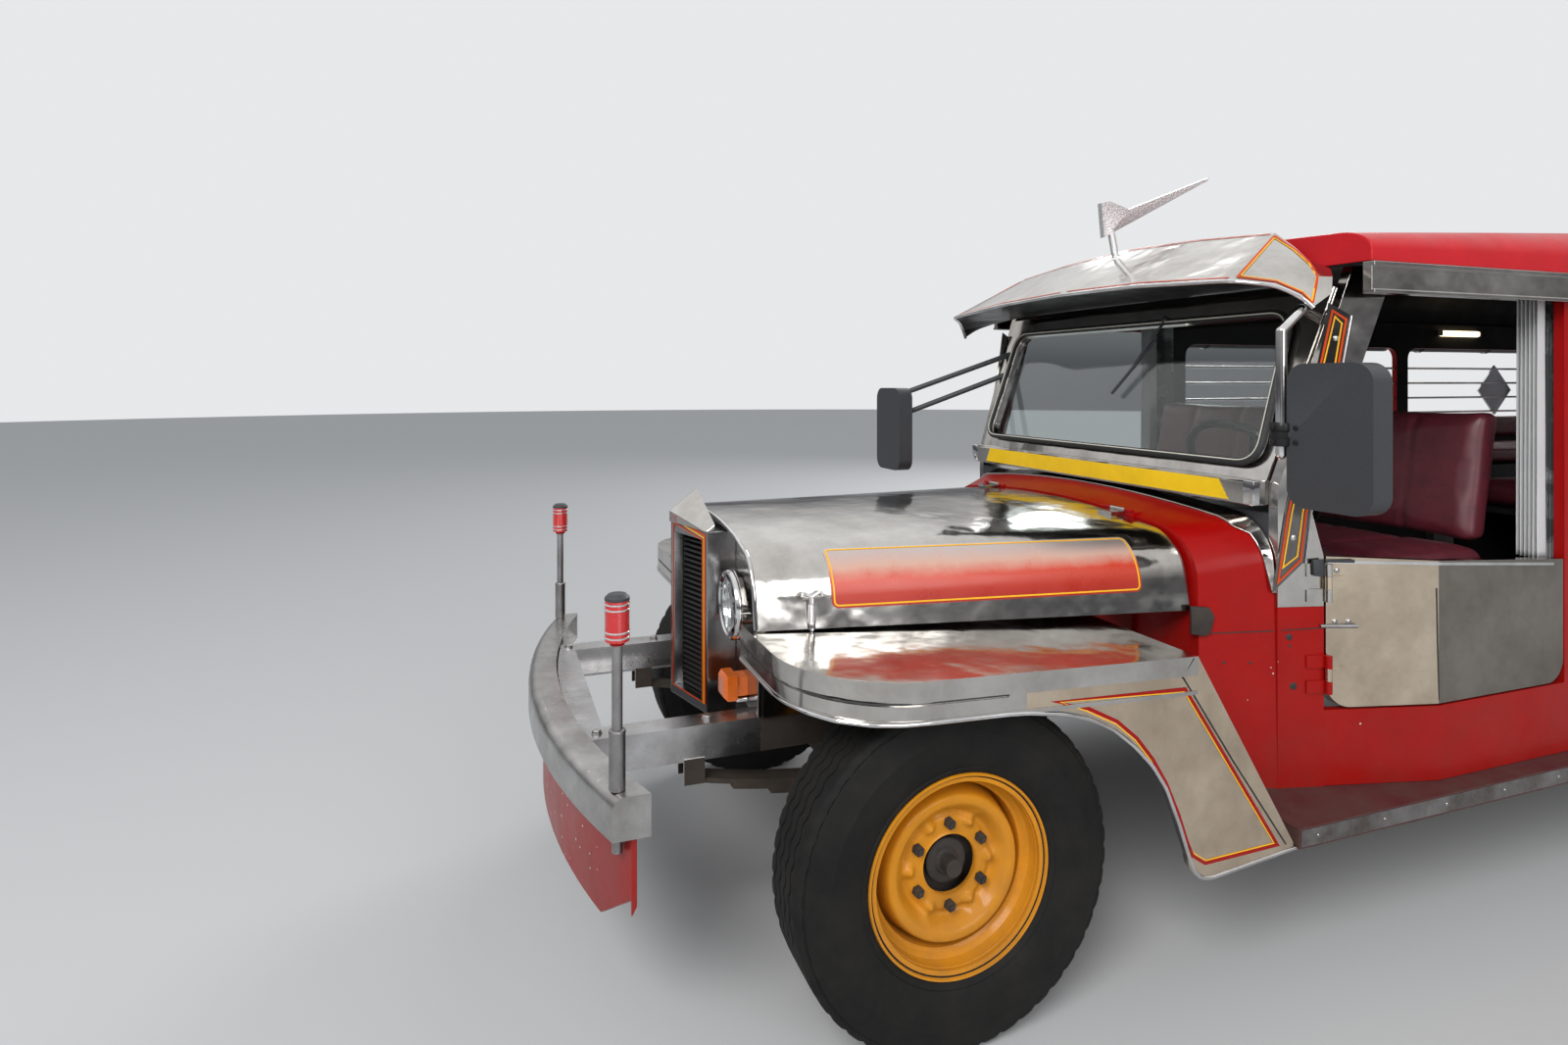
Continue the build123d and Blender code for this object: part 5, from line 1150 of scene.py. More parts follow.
# %% [markdown]
# ## Visor
# The sun visor is a closed box of polished sheet over the windscreen. Its cheeks sweep back and
# down to the corner posts in a curve, so it is laid over six sections a side, each a four-cornered
# loop, and bridged from one to the next. A rolled lip stiffens the front edge.

# %% Bridge the visor's sections
visor_rows = [
    # lip, ridge, foot of the back, rear of the underside
    ((-870, 0, 1770), (-1150, 0, 1936), (-1169, 0, 1790), (-1160, 0, 1744)),
    ((-870, 360, 1763), (-1150, 330, 1922), (-1169, 330, 1790), (-1160, 330, 1744)),
    ((-872, 700, 1741), (-1150, 594, 1899), (-1169, 594, 1789), (-1160, 600, 1742)),
    ((-944, 770, 1725), (-1117, 685, 1842), (-1167, 690, 1787), (-1150, 700, 1735)),
    ((-986, 813, 1693), (-1087, 754, 1793), (-1150, 765, 1776), (-1120, 780, 1722)),
    ((-1007, 829, 1664), (-1050, 810, 1745), (-1082, 822, 1744), (-1068, 831, 1700)),
]
bm = bmesh.new()
loops = []
for side, rows in ((-1, visor_rows[:0:-1]), (1, visor_rows)):
    for row in rows:
        spots = [bm.verts.new(at(x, side * y, z)) for x, y, z in row]
        loops.append([bm.edges.new((spots[k], spots[k - 1])) for k in range(4)])
for first, second in zip(loops, loops[1:]):
    bmesh.ops.bridge_loops(bm, edges=first + second)
bmesh.ops.holes_fill(bm, edges=loops[0] + loops[-1], sides=4)
bmesh.ops.subdivide_edges(bm, edges=bm.edges[:], cuts=5, use_grid_fill=True)
visor = put("visor_finished", smooth(outward(bm), 28), "stainless")
tone(visor, "black_paint", lambda centre, normal: normal.z < -0.25)
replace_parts(visor, "visor")
print("visor of", len(visor.data.polygons), "faces")

# %% Lines and lip of the visor


def visor_spot(row, share):
    """A place on the visor's front: row counts the sections, share runs from the lip to the ridge."""
    first = min(int(row), len(visor_rows) - 2)
    ends = [at(*low).lerp(at(*high), share) for low, high, _, _ in visor_rows[first:first + 2]]
    return ends[0].lerp(ends[1], row - first)


def visor_line(name, route, width, material):
    """A painted line over the visor's front, through (row, share) spots."""
    parts = []
    for (row0, share0), (row1, share1) in zip(route, route[1:]):
        row, share = (row0 + row1) / 2, (share0 + share1) / 2
        climb = visor_spot(row, share + 0.02) - visor_spot(row, share - 0.02)
        run = visor_spot(row + 0.04, share) - visor_spot(row - 0.04, share)
        normal = run.cross(climb).normalized()
        normal = normal if normal.x > 0 else -normal
        parts.append(ribbon([visor_spot(row0, share0), visor_spot(row1, share1)], normal, width / 1000, lift=0.0012))
    put(name, parts, material, both=True)


def visor_loop(inset):
    """The outline of a cheek panel, set in from its edges."""
    rows = [2.0 + inset * 1.6, 2.5, 3.0, 3.5, 4.0, 4.5, 5.0 - inset * 2.2]
    low = [(row, inset + 0.02 * row / 5) for row in rows]
    return low + [(row, 1 - inset) for row in reversed(rows)] + low[:1]


middle_rows = [0.05, 0.5, 1.0, 1.5, 1.96]
visor_line("visor_lip_line", [(row, 0.045) for row in middle_rows], 6.0, "border_orange")
visor_line("visor_ridge_line", [(row, 0.965) for row in middle_rows], 5.0, "border_orange")
visor_line("visor_cheek_lines", visor_loop(0.05), 6.0, "border_orange")
visor_line("visor_cheek_gold", visor_loop(0.085), 3.5, "stripe_yellow")
lip = [visor_spot(row, 0.0) + Vector((0.001, 0, -0.003)) for row in (5, 4, 3, 2, 1, 0)]
put("visor_rolled_lip", bar(rounded(lip + other_side(lip[-2::-1]), 0.03, 4), 0.0060), "chrome")
print("visor lined")

# %% [markdown]
# ## Seat covers
# The benches and the cab seat are foam under maroon vinyl. A pad is a rounded block a little
# smaller than its foam, remeshed finely and blown up with a cloth simulation, so that the faces
# crown and the corners pull in. The sewn channels come after it, because a remesh would erase them.

# %% Vinyl and woven cloth
vinyl = finish("maroon_vinyl", (0.10, 0.014, 0.022), 0.42, 0.0, Coat_Weight=0.12, Coat_Roughness=0.35)
tree = vinyl.node_tree
skin = grained_with(vinyl, (0.115, 0.015, 0.024), (0.045, 0.008, 0.014), 18.0, 0.6)
shade(vinyl, Base_Color=skin["Color"])
cells = add(tree, "ShaderNodeTexVoronoi", feature="DISTANCE_TO_EDGE", Scale=420.0, Vector=object_place(tree))
pores = maths(tree, "MULTIPLY", cells.outputs["Distance"], 0.5)
bump(vinyl, maths(tree, "ADD", pores, skin["Height"]), 0.5, 0.0012)
vary_roughness(vinyl, skin["Height"], 0.34, 0.55)


def woven(name, patches, way, *shades):
    """Cloth with a fine weave and patches of other shades."""
    material = finish(name, shades[0][1:], 0.85, 0.0, Sheen_Weight=0.2, Sheen_Roughness=0.5)
    tree = material.node_tree
    patched = ramp(tree, cloudy(tree, patches, 2.5, 0.55), *shades)
    patched.color_ramp.interpolation = way
    shade(material, Base_Color=patched.outputs["Color"])
    threads = [add(tree, "ShaderNodeTexWave", wave_type="BANDS", bands_direction=axis, Scale=330.0, Distortion=1.0,
                   Vector=object_place(tree)).outputs["Fac"] for axis in ("X", "Z")]
    bump(material, maths(tree, "ADD", *threads), 0.4, 0.0008)


woven("pale_cloth", 3.0, "LINEAR", (0.0, 0.42, 0.43, 0.45), (0.52, 0.60, 0.60, 0.60))
woven("camouflage_cloth", 9.0, "CONSTANT", (0.0, 0.10, 0.105, 0.11), (0.52, 0.24, 0.25, 0.26),
      (0.60, 0.42, 0.43, 0.44))
print("cloths woven")

# %% Stuff and cover a pad


def stuffed(low, high, inset, bend, voxel, most, seed):
    """Remeshes a block set in from its room, blows it up as cloth, and gives the crowned mesh."""
    scene = bpy.context.scene
    mesh = bpy.data.meshes.new("pad_block")
    bm = block(low + Vector(inset[:3]), high - Vector(inset[3:] or inset), bend)
    bm.to_mesh(mesh)
    bm.free()
    pad = placed("pad_block", mesh)
    remesh = pad.modifiers.new("fine", "REMESH")
    remesh.mode = "VOXEL"
    remesh.voxel_size = voxel
    fine = blown = bpy.data.meshes.new_from_object(pad.evaluated_get(bpy.context.evaluated_depsgraph_get()))
    pad.modifiers.clear()
    pad.data = fine
    cloth = pad.modifiers.new("blown", "CLOTH")
    cloth.settings.quality = 4
    cloth.settings.use_pressure = True
    cloth.settings.uniform_pressure_force = 4.0
    cloth.settings.effector_weights.gravity = 0.0
    cloth.settings.tension_stiffness = 12.0
    cloth.point_cache.frame_start = 1
    cloth.point_cache.frame_end = 20
    for frame_number in range(1, 21):
        scene.frame_set(frame_number)
    blown = bpy.data.meshes.new_from_object(pad.evaluated_get(bpy.context.evaluated_depsgraph_get()))
    pad.modifiers.clear()
    scene.frame_set(1)
    result = bmesh.new()
    result.from_mesh(blown)
    for vert, before in zip(result.verts, [vert.co.copy() for vert in fine.vertices]):
        move = vert.co - before
        if move.length > most:
            move *= most / move.length
        vert.co = before + move
        vert.co += noise.noise_vector(vert.co * 7.0 + Vector((seed, 0, 0))) * 0.0025
    bpy.data.objects.remove(pad)
    return result


def channelled(bm, along, seams, sunk, depth, width, chosen):
    """Sewn channels: chosen points near each seam sink along an axis."""
    for vert in bm.verts:
        if chosen(vert.co):
            for seam in seams:
                away = abs(vert.co[along] - seam) / width
                if away < 3:
                    vert.co[sunk] += depth * 2.718 ** (-away * away)


def cover(bm, name, low, high, grow, lean=0.0, both=False):
    """A cover kept inside the room of its solid, smoothed once, as a padded piece."""
    for vert in bm.verts:
        for axis in range(3):
            top = high[axis] + (grow if axis == 2 else -0.0005)
            vert.co[axis] = min(max(vert.co[axis], low[axis] + 0.0005), top)
    for vert in bm.verts:
        vert.co.x -= lean * (vert.co.z - low.z)
    if both:
        bm = both_sides(bm)
    for face in bm.faces:
        face.smooth = True
    piece = put(name, bm, "maroon_vinyl")
    modifier = piece.modifiers.new("smooth", "SUBSURF")
    modifier.levels = modifier.render_levels = 1
    return piece

print("pad makers ready")

# %% Bench pads, cab seat and their backs
low, high = at(-5338, 411, 1052.6), at(-2177, 806, 1142.3)
seams = [low.x + (high.x - low.x) * k / 8 for k in range(1, 8)]
bm = stuffed(low, high, (0.016, 0.014, 0.010, 0.016, 0.014, 0.014), 0.022, 0.014, 0.016, 1)
channelled(bm, 0, seams, 2, -0.009, 0.012, lambda co: co.z >= low.z + 0.05)
pads = [cover(bm, "bench_pads", low, high, 0.004, both=True)]

low, high = at(-5338, 745.5, 1144.5), at(-2177, 806, 1294.5)
bm = stuffed(low, high, (0.012, 0.010, 0.010, 0.012, 0.006, 0.010), 0.018, 0.013, 0.012, 2)
channelled(bm, 0, seams, 1, 0.007, 0.011, lambda co: co.y < low.y + 0.03)
pads.append(cover(bm, "bench_backs", low, high, 0.0, both=True))

low, high = at(-1958, -689, 853.4), at(-1442, 689, 962.3)
seams = [low.y + (high.y - low.y) * k / 6 for k in range(1, 6)]
bm = stuffed(low, high, (0.014, 0.014, 0.010, 0.014, 0.014, 0.012), 0.024, 0.012, 0.016, 3)
channelled(bm, 1, seams, 2, -0.009, 0.012, lambda co: co.z >= low.z + 0.06)
pads.append(cover(bm, "cab_cushion", low, high, 0.004))

low, high = at(-1956, -689, 962.9), at(-1848, 689, 1391)
bm = stuffed(low, high, (0.012, 0.013, 0.008, 0.010, 0.013, 0.008), 0.026, 0.012, 0.014, 4)
channelled(bm, 1, seams, 0, -0.009, 0.012, lambda co: co.x > at(-1888, 0, 0).x)
pads.append(cover(bm, "cab_backrest", low, high, 0.0, 0.18))
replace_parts(pads[0], "seat_pads")
print(len(pads), "pads covered,", sum(len(pad.data.polygons) for pad in pads), "faces before smoothing")

# %% [markdown]
# ## Side curtains
# Rain curtains are rolled up under the roof band and tied with webbing. A rolled curtain is a long
# sheet wound in a spiral, so its end shows the turns. The door curtains are gathered at their post:
# a sheet laid in tight pleats that loosen towards the hem.

# %% Roll and gather the curtains
roll_turns = 4.6
roll_start, roll_end = 0.013, 0.0335
roll_y, roll_z = 871.3, 1665.7
hung_out, hung_in, hung_top = 803.0, 742.0, 1724.0


def cloth_sheet(across, down, side, place_of):
    """A fine sheet whose points are laid by a function, on the left or mirrored to the right."""
    bm = bmesh.new()
    bmesh.ops.create_grid(bm, x_segments=across, y_segments=down, size=0.5)
    for vert in bm.verts:
        vert.co = place_of(vert.co.x + 0.5, vert.co.y + 0.5)
    outward(bm)
    for face in bm.faces:
        face.smooth = True
    if side < 0:
        bmesh.ops.scale(bm, verts=bm.verts, vec=Vector((1, -1, 1)))
        bmesh.ops.reverse_faces(bm, faces=bm.faces)
    return bm


def wound(front, rear):
    """Where a sheet wound about its pole lies."""
    def place_of(along, turn):
        angle = 2 * pi * roll_turns * turn
        radius = roll_start + (roll_end - roll_start) * turn
        radius += 0.0011 * noise.noise(Vector((along * 9, angle, front / 1000))) * turn
        centre = at(front - 12 + (rear - front + 24) * along, roll_y, roll_z)
        return centre + Vector((0, radius * cos(angle - 1.2), radius * sin(angle - 1.2)))
    return place_of


def pleated(front, depth, low, pleats, seed):
    """Where a gathered sheet lies, whose pleats loosen towards the hem."""
    def place_of(across, climb):
        down = 1.0 - climb
        wander = noise.noise(Vector((across * 4, down * 2.4, seed))) * (0.25 + 0.75 * down)
        swing = cos(2 * pi * pleats * across + 1.1 * wander)
        x = front - depth / 2 + (depth / 2 - 3) * (0.80 + 0.16 * down) * swing
        y = hung_out - 4 - (hung_out - hung_in - 8) * (across + 0.02 * wander)
        z = hung_top - (hung_top - low - 2) * down + 5 * wander * down
        return at(x, min(max(y, hung_in), hung_out), max(z, low + 1))
    return place_of


curtains = []
for number, front, rear in ((1, -2215.0, -3665.0), (2, -3750.0, -5200.0)):
    for side, word in sides:
        piece = put(f"rolled_curtain_{word}_{number}", cloth_sheet(36, 150, side, wound(front, rear)), "tarpaulin")
        curtains.append(piece)
        ties = [turned([(34.4, -11), (35.6, -11), (35.6, 11), (34.4, 11)],
                       at(front + (rear - front) * share, side * roll_y, roll_z), ahead, 40, True)
                for share in (0.12, 0.5, 0.88)]
        ties = put(f"curtain_ties_{word}_{number}", ties, "black_paint")
for label, front, depth, low, cloth, pleats in (
    # name, front x, depth along x, low z, cloth, pleats
    ("front", -1933.0, 60.0, 950.0, "pale_cloth", 5), ("rear", -2023.0, 70.0, 900.0, "camouflage_cloth", 6),
):
    for side, word in sides:
        bm = cloth_sheet(pleats * 16, 40, side, pleated(front, depth, low, pleats, side + front))
        area = sum(face.calc_area() for face in bm.faces)
        piece = put(f"door_curtain_{label}_{word}", bm, cloth)
        curtains.append(piece)
for piece in curtains:
    modifier = piece.modifiers.new("cloth_thickness", "SOLIDIFY")
    modifier.thickness = 0.0012
    modifier.offset = 0.0
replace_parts(curtains[0], "curtains")
print("curtains hung")

# %% [markdown]
# ## Roof and painted cabin shade
# The roof sinks towards the visor, which hides its front edge. The sheet is cut across at short
# steps and each step is lowered a little more. Inside, roof and walls are painted near black as painted shade.

# %% Lower the roof's front and paint shade in the cabin
sink_x, sink_end_x, sink_step, roof_rim = -2800, -1180, 90, 1.785
sink_length, sink_most, sink_curve = 1.628, 0.49, 1.15


def lower(bm):
    """Sinks the roof ahead of a place."""
    for x in range(sink_x, sink_end_x, sink_step):
        cut(bm, at(x, 0, 0), ahead)
    for vert in bm.verts:
        share = min(1.0, max(0.0, (vert.co.x - at(sink_x, 0, 0).x) / sink_length))
        if vert.co.z > roof_rim + 0.001:
            vert.co.z = roof_rim + (vert.co.z - roof_rim) * (1 - sink_most * share ** sink_curve)


reshape(pieces["roof_shell"], lower)
# the roof's underside and the inner walls are painted near black as painted shade
tone(pieces["roof_shell"], "lining", lambda centre, normal: (
    (normal.y * centre.y < 0 and abs(normal.y) > 0.3) or normal.z < -0.3))
tone(pieces["body_sides"], "lining", lambda centre, normal: normal.y * centre.y < 0 and abs(normal.y) > 0.3)
tube = turned([(0, 0), (13, 0), (16, 3), (16, 297), (13, 300), (0, 300)], at(-4295, -798, 1735), ahead, 20)
put("ceiling_tube", tube, "warm_lamp")
put("tube_holder", [block(at(-4305, -836, 1722), at(-4296, -784, 1750), 0.002),
                    block(at(-3994, -836, 1722), at(-3985, -784, 1750), 0.002),
                    block(at(-4300, -836, 1728), at(-3990, -822, 1744), 0.003)], "cream")
print("roof lowered, cabin lined")

# %% [markdown]
# ## Corner posts
# Each post's outer face is a polished blade with an orange-red outline and a gold one inside it,
# screwed on near its tip. The blade stands a little proud, with one bright folded edge.

# %% Blades, lines and screws on the posts
screw_head = [(0, 0), (7.5, 0), (7.5, 1.2), (5, 3), (1.2, 3.4), (1.2, 2.2), (0, 2.2)]
post_face, post_out = sight_hit(["corner_posts"], (1322, 560))
post_face = post_face + post_out * 0.0035


def on_post(*spots):
    """Places on the blade's plane behind spots of the picture."""
    return on_plane(spots, post_face, post_out)


blade = on_post((1356, 309), (1345, 368.6), (1311.7, 523.9), (1299, 604), (1330, 574), (1336, 524), (1369, 368.6),
                (1377.5, 321))
plates = put("post_blades", slab(blade, post_out * -0.003), "stainless", both=True)
# the blade's outer face is darkened: a painted dark reflection
tone(plates, "dark_blade", lambda centre, normal: normal.y * centre.y > 0.4)
outline = on_post((1359.5, 317), (1348, 369), (1314.5, 524), (1304, 594), (1327, 571.5), (1332.5, 524), (1366, 369),
                  (1373.5, 326))
stripe("post_red_line", outline, post_out, 6.5, "border_orange", True, True)
inner = on_post((1362, 323), (1351, 369.5), (1318, 524), (1309, 579), (1323.5, 567.5), (1329, 523.5), (1362.5, 369),
                (1369, 330))
stripe("post_gold_line", inner, post_out, 4, "stripe_yellow", True, True)
flange = on_post((1379, 322), (1370.5, 368.6), (1337.5, 524), (1331.5, 575))
put("post_flanges", bar(flange, 0.0035, 3), "chrome", both=True)
screws = [turned(screw_head, place, post_out, 20) for place in on_post((1319.4, 548.7), (1363, 345))]
put("post_screws", screws, "chrome", both=True)
print("posts lined")

# %% [markdown]
# ## Doors
# Half doors of polished sheet hang on pins. Their front half is painted with a warm reflection of the street and the
# rear half, past the fold, with a darker painted reflection. Each carries a bright top edge.

# %% Paint reflections on the doors and add their fittings
door = ["left_door"]
door_fold_x = -1470
for node in ("left_door", "right_door"):
    # warm painted reflection on the door's front half, darker painted reflection behind the fold
    pieces[node].data.materials[0] = finishes["warm_steel"]
    tone(pieces[node], "dark_steel", lambda centre, normal: centre.x < at(door_fold_x, 0, 0).x)


def fit_doors(name, bm, material):
    """A left door's fitting and its mirror image on the right door."""
    for word, part in (("left", bm), ("right", mirrored(bm))):
        put(f"{word}_{name}", part, material, f"{word}_door")


top_edge, facing = on_sheet(door, [(1354, 573), (1470, 575), (1585, 575)], 0.2)
fit_doors("door_top_strip", ribbon(top_edge, facing, 0.008, film=0.0012), "chrome")
# the dark line along the door's fold is painted shade in the crease
fold, facing = on_sheet(door, [(1466, 600), (1467, 655), (1468.5, 714)], 0.2)
fit_doors("door_fold", ribbon(fold, facing, 0.0022), "dark_plastic")
pin, _ = on_sheet(door, [(1353, 638.5), (1383, 638)], 6)
fit_doors("door_pin_bar", bar([pin[0] + (pin[0] - pin[1]).normalized() * 0.012] + pin, 0.0055), "steel_plate")
fit_doors("door_top_rod", bar(on_sheet(door, [(1353, 572), (1380, 572)], 5)[0], 0.0045), "dark_plastic")
screws = [turned(screw_head, *sight_hit(door, spot), 16) for spot in ((1362, 634), (1376, 634), (1364, 582))]
fit_doors("door_screws", joined(screws), "worn_stainless")
print("doors toned")

# %% [markdown]
# ## The red side
# Between fender and door the red sheet has a joint, a few open screw holes and chips. A worn cast
# bracket shows behind the hood, and a dark clamp sits on the post beside the door.

# %% Joint, holes, bracket and clamp
side_sheets = ["cowl", "body_sides", "corner_posts"]
for word, spots in (("front", [(1236, 646), (1300, 643.5)]), ("rear", [(1308, 643), (1348, 640.5)])):
    stripe(f"side_joint_{word}", *on_sheet(side_sheets, spots, 0), 2.8, "seal_rubber", both=True)
holes = [turned([(0, 0.2), (radius, 0.2), (radius - 1, 0.8), (0, 0.6)], *sight_hit(side_sheets, spot), 18)
         for *spot, radius in ((1315.3, 650, 9), (1316, 659, 4), (1319.6, 700, 10), (1276, 676, 4), (1249, 676, 4))]
put("side_holes", holes, "seal_rubber")
flecks = []
for across, down, radius in ((1299, 687, 3), (1297, 681, 2), (1304, 675, 2), (1273, 714, 2), (1388, 738, 3)):
    hit = sight_hit(side_sheets, (across, down))
    flecks += scattered(lambda u, v: hit, 1, across, radius / 1500, radius / 1000)
put("side_chips", flecks, "cream")
for name, spots, key, thickness, material in (
    # name, outline, where it lies on the sheet, thickness, finish
    ("cowl_bracket", [(1214, 618), (1233, 619), (1238, 628), (1234, 645), (1228, 648), (1214, 646)], (1231, 633), 12,
     "cast_iron"),
    ("post_clamp", [(1338, 571), (1349, 570), (1349, 588), (1339, 587)], (1343, 580), 8, "dark_plastic"),
):
    place, facing = sight_hit(side_sheets, key)
    plate = slab(on_plane(spots, place, facing), facing * thickness / 1000)
    put(name, softened(plate, thickness / 5000, 2), material, both=True)
print("side worn in")

# %% [markdown]
# ## Mirrors
# The left mirror hangs from a bright bent tube and is clamped to it, the right one from two thin
# dark arms. The heads are moulded plastic with silvered glass in the back.

# %% Finish the mirrors
left_tube_out = 0.8355
tone(pieces["mirrors"], "chrome", lambda centre, normal: 0 < centre.y < left_tube_out)
clamp = [(13.3, 1311), (25, 1311), (27, 1315), (27, 1331), (24, 1333), (24, 1348), (27, 1350), (27, 1366), (25, 1370),
         (13.3, 1370)]
lugs = [turned([(0, 26), (7, 26), (7, 31), (3, 33), (0, 33)], at(-905, 822, z), ahead, 6) for z in (1322, 1359)]
put("mirror_clamp", [turned(clamp, at(-905, 822, 0), up, 32, True)] + lugs, "black_paint")
for side, word, x, z in ((1, "left", -932, 1340), (-1, "right", -720, 1265)):
    centre = at(x - 31, side * 950, z)
    half_y, half_z = Vector((0, 0.092, 0)), Vector((0, 0, 0.158))
    corners = [centre + half_y, centre + half_y + half_z, centre - half_y + half_z, centre - half_y - half_z,
               centre + half_y - half_z, centre + half_y]
    pane = rounded(corners, 0.03, 5)[:-1]
    put(f"mirror_pane_{word}", slab(pane, Vector((-0.0015, 0, 0))), "mirror_glass")
    put(f"mirror_rim_{word}", bar(pane + pane[:2], 0.004, 2), "seal_rubber")
screws = [turned(screw_head, at(-900.8, 866, z), ahead, 16) for z in (1322, 1359)]
put("mirror_screws", screws, "black_paint")
print("mirrors finished")

# %% [markdown]
# ## Fender joint, running boards and rear entry
# The joint between a fender's two bands is a dark line that follows the corner. A running board is
# a step with a metal strip nailed along its edge. Passengers climb in at the back, between two
# grab rails, and round red lamps sit in bright rims.

# %% Joint, strips, grab rails and lamp rims
joint = [place + Vector((0, 0.0005, 0.042)) for place in roll[:11]]
put("fender_band_joint", bar(rounded(joint, 0.012, 3), 0.0022, 2), "seal_rubber", both=True)
edge = [at(x, 895.2, z) for x, z in ((-882, 343), (-3261, 343), (-3261, 384), (-882, 384))]
put("running_board_strip", slab(edge, Vector((0, 0.0012, 0))), "steel_plate", both=True)
nails = [turned([(0, 1), (5, 1), (4, 2.6), (0, 3.2)], at(x, 895.2, 363), (0, 1, 0), 12)
         for x in range(-940, -3260, -230)]
put("running_board_nails", nails, "worn_stainless", both=True)
rail_y = 362
rail = [at(x, rail_y, z) for x, z in ((-5428, 980), (-5478, 990), (-5478, 1560), (-5428, 1570))]
rails = [bar(rounded(rail, 0.03, 5), 0.0115)]
rails += [turned([(11.6, 0), (27, 0), (27, 3), (18, 7), (11.6, 7)], at(-5429, rail_y, z), behind, 28, True)
          for z in (980, 1570)]
put("grab_rails", rails, "chrome", both=True)
rims = [turned([(45.3, 0), (54, 0), (54, 4), (49, 10), (45.3, 10)], at(-5429, 725, z), behind, 48, True)
        for z in (760, 880)]
put("tail_lamp_rims", rims, "chrome", both=True)
print("fender joint drawn, boards edged, rear entry fitted")

# %% [markdown]
# ## Engine
# The hood opens, so the block under it gets the parts that a plain truck engine shows: a cover with
# its nuts, an air cleaner, manifolds on both flanks, a fan and the hose to the radiator.

# %% Fittings on the engine
head_top = 985.0
cover_parts = [block(at(-600, -85, head_top + 8), at(140, 85, head_top + 44), 0.014),
               block(at(-640, -190, head_top), at(170, 190, head_top + 9), 0.003)]
cover_parts += [block(at(x - 6, -80, head_top + 43), at(x + 6, 80, head_top + 48), 0.002)
                for x in (-520, -120, 0, 100)]
put("rocker_cover", cover_parts, "maroon")
nuts = [turned([(0, 0), (12, 0), (12, 9), (7, 10), (7, 16), (0, 17)], at(x, y, head_top + 9), up, 6)
        for x in range(-600, 160, 125) for y in (-140, 140)]
put("head_nuts", nuts, "worn_stainless")
cleaner = [(0, 0), (38, 0), (38, 8), (100, 12), (104, 18), (104, 36), (98, 42), (22, 43), (9, 44), (8, 50), (0, 51)]
put("air_cleaner", turned(cleaner, at(-330, 0, head_top + 44), up, 56), "black_paint")
for name, side, y, height, radius, material in (("exhaust_manifold", -1, -252, 850, 0.030, "rust"),
                                                ("inlet_manifold", 1, 248, 900, 0.026, "steel_plate")):
    tubes = [bar([at(-600, y, height), at(130, y, height)], radius)]
    for x in (-540, -340, -140, 60):
        port = [at(x, side * 198, height + 30), at(x, side * 230, height + 26), at(x, y, height)]
        tubes.append(bar(rounded(port, 0.012, 4), radius * 0.8))
        tubes.append(turned([(0, 0), (38, 0), (38, 8), (0, 8)], at(x, side * 200, height + 30), (0, side, 0), 24))
    put(name, tubes, material)
plugs = [turned([(0, 0), (26, 0), (26, 2), (21, 4), (0, 3)], at(x, 200, 740), (0, 1, 0), 24)
         for x in (-560, -340, -120)]
plugs.append(turned([(0, 0), (30, 0), (30, 12), (46, 16), (46, 116), (38, 124), (0, 124)], at(60, 262, 690), up, 32))
put("core_plugs_and_filter", plugs, "steel_plate")
hose = rounded([at(279, -80, 1012), at(236, -80, 1012), at(214, -70, 975), at(186, -66, 968)], 0.016, 5)
put("radiator_hose", bar(hose, 0.0215), "seal_rubber")
put("hose_clips", [turned([(21.4, -6), (24, -6), (24, 6), (21.4, 6)], at(*spot), ahead, 32, True)
                   for spot in ((266, -80, 1012), (197, -67, 970))], "worn_stainless")
blades = [turned([(0, 0), (36, 0), (36, 30), (20, 44), (0, 46)], at(190, 0, 850), ahead, 32)]
for number in range(6):
    angle = pi / 3 * number
    corners = [at(224 + 0.30 * wide, far * cos(angle) - wide * sin(angle), 850 + far * sin(angle) + wide * cos(angle))
               for far, wide in ((30, -20), (176, -36), (176, 36), (30, 20))]
    blades.append(slab(corners, Vector((0.002, 0, 0))))
put("engine_fan", blades, "worn_stainless")
print("engine fitted out")

# %% [markdown]
# ## The studio
# A pale floor and a pale sky give polished metal something calm to reflect. One large soft lamp
# stands ahead and above, a second one fills the side towards the camera.

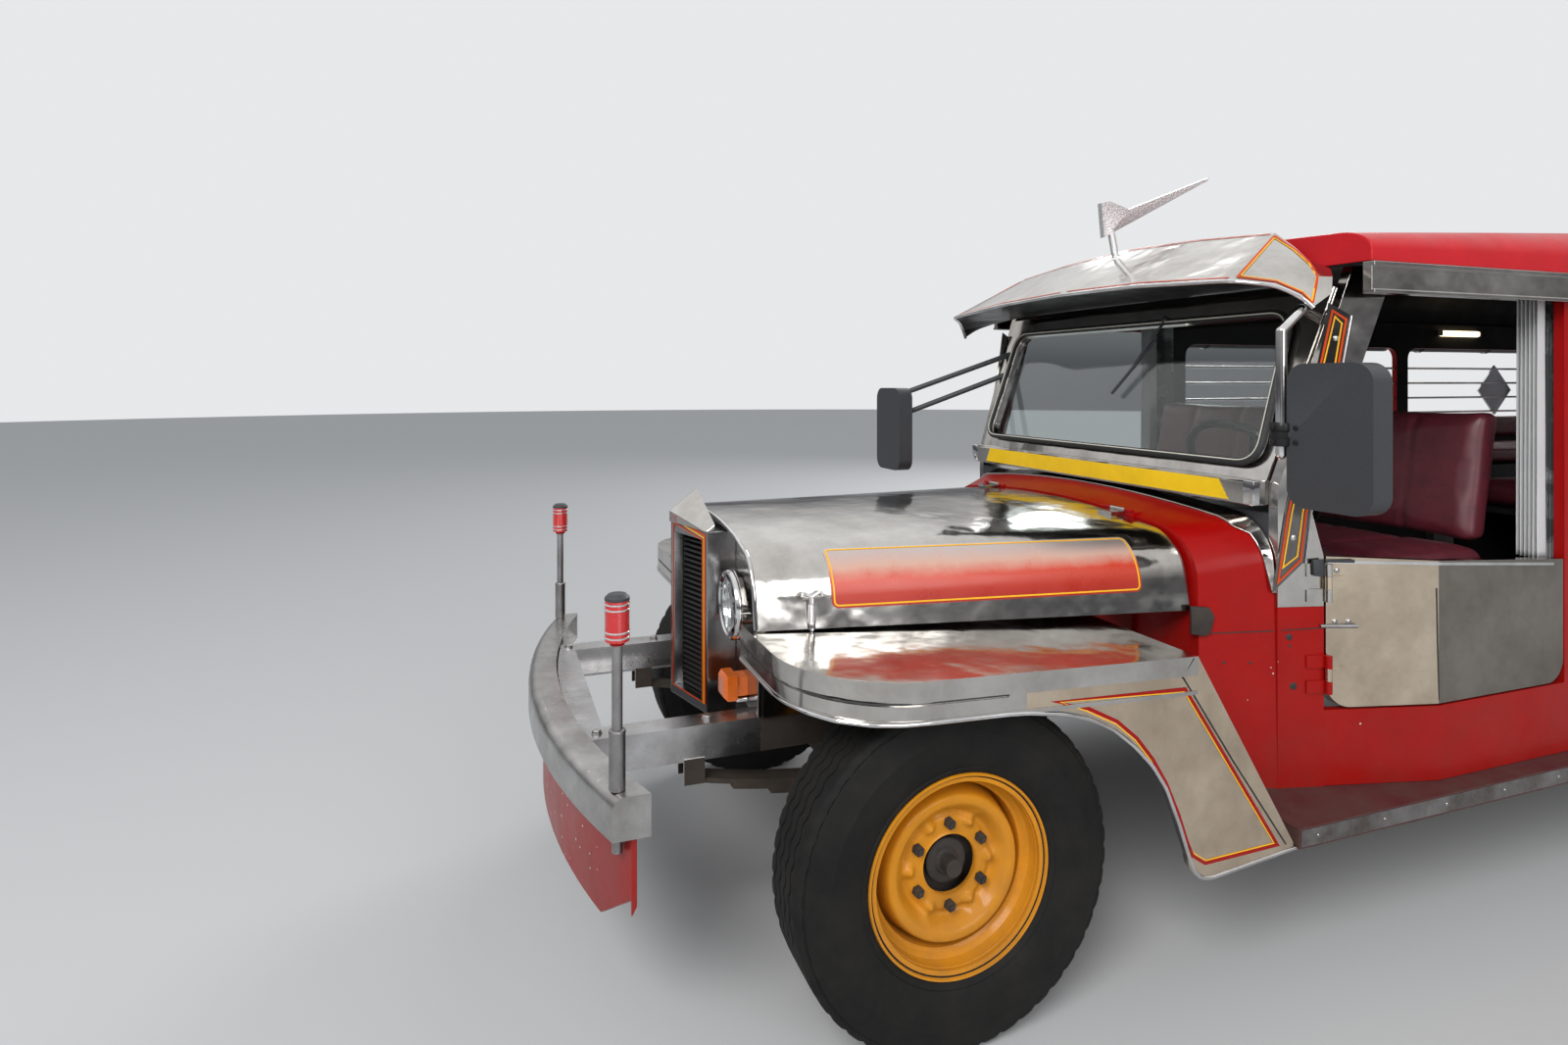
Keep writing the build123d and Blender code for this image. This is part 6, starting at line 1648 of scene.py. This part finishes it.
# %% Floor, sky and lamps
bm = bmesh.new()
bmesh.ops.create_circle(bm, cap_ends=True, segments=96, radius=40.0)
floor_data = bpy.data.meshes.new("studio_floor")
bm.to_mesh(floor_data)
bm.free()
floor_data.materials.append(finish("floor_pale", (0.52, 0.52, 0.52), 0.9))
placed("studio_floor", floor_data)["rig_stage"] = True

world = bpy.data.worlds.new("studio_sky")
world.use_nodes = True
sky = world.node_tree
lit = sky.nodes["Background"]
fill(sky, lit.inputs["Color"], (0.90, 0.95, 1.0, 1))
fill(sky, lit.inputs["Strength"], 0.55)
climb = add(sky, "ShaderNodeSeparateXYZ", Vector=add(sky, "ShaderNodeTexCoord").outputs["Generated"])
horizon = ramp(sky, climb.outputs["Z"], (0.02, 0.10, 0.10, 0.11), (0.45, 1.0, 1.0, 1.0))
path = add(sky, "ShaderNodeLightPath").outputs
mirror = maths(sky, "MAXIMUM", path["Is Glossy Ray"], path["Is Transmission Ray"])
seen = add(sky, "ShaderNodeBackground", Color=mixed(sky, mirror, (0.80, 0.81, 0.82, 1), horizon.outputs["Color"]))
choose = add(sky, "ShaderNodeMixShader", Fac=maths(sky, "MAXIMUM", mirror, path["Is Camera Ray"]))
fill(sky, choose.inputs[1], lit.outputs[0])
fill(sky, choose.inputs[2], seen.outputs[0])
fill(sky, sky.nodes["World Output"].inputs["Surface"], choose.outputs[0])
bpy.context.scene.world = world

for name, place, aim, width, power in (
    # name, place, aimed at, width, power
    ("key_lamp", (7.5, 5.5, 6.5), (1.5, 0.5, 0.8), 4.5, 600.0),
    ("side_lamp", (1.0, 9.0, 4.0), (0.5, 0.0, 1.0), 5.0, 260.0),
    ("far_lamp", (-6.0, -7.0, 6.0), (-1.0, 0.0, 1.0), 5.0, 500.0),
):
    data = bpy.data.lights.new(name, "AREA")
    data.shape = "DISK"
    data.size = width
    data.energy = power
    lamp = placed(name, data)
    lamp.location = place
    lamp.rotation_euler = (Vector(aim) - Vector(place)).to_track_quat("-Z", "Y").to_euler()
bpy.context.scene.view_settings.view_transform = "Standard"
print("three lamps placed")

# %% Write the sizes and finish
low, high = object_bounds()
print("the scene reaches from", list(low), "to", list(high))
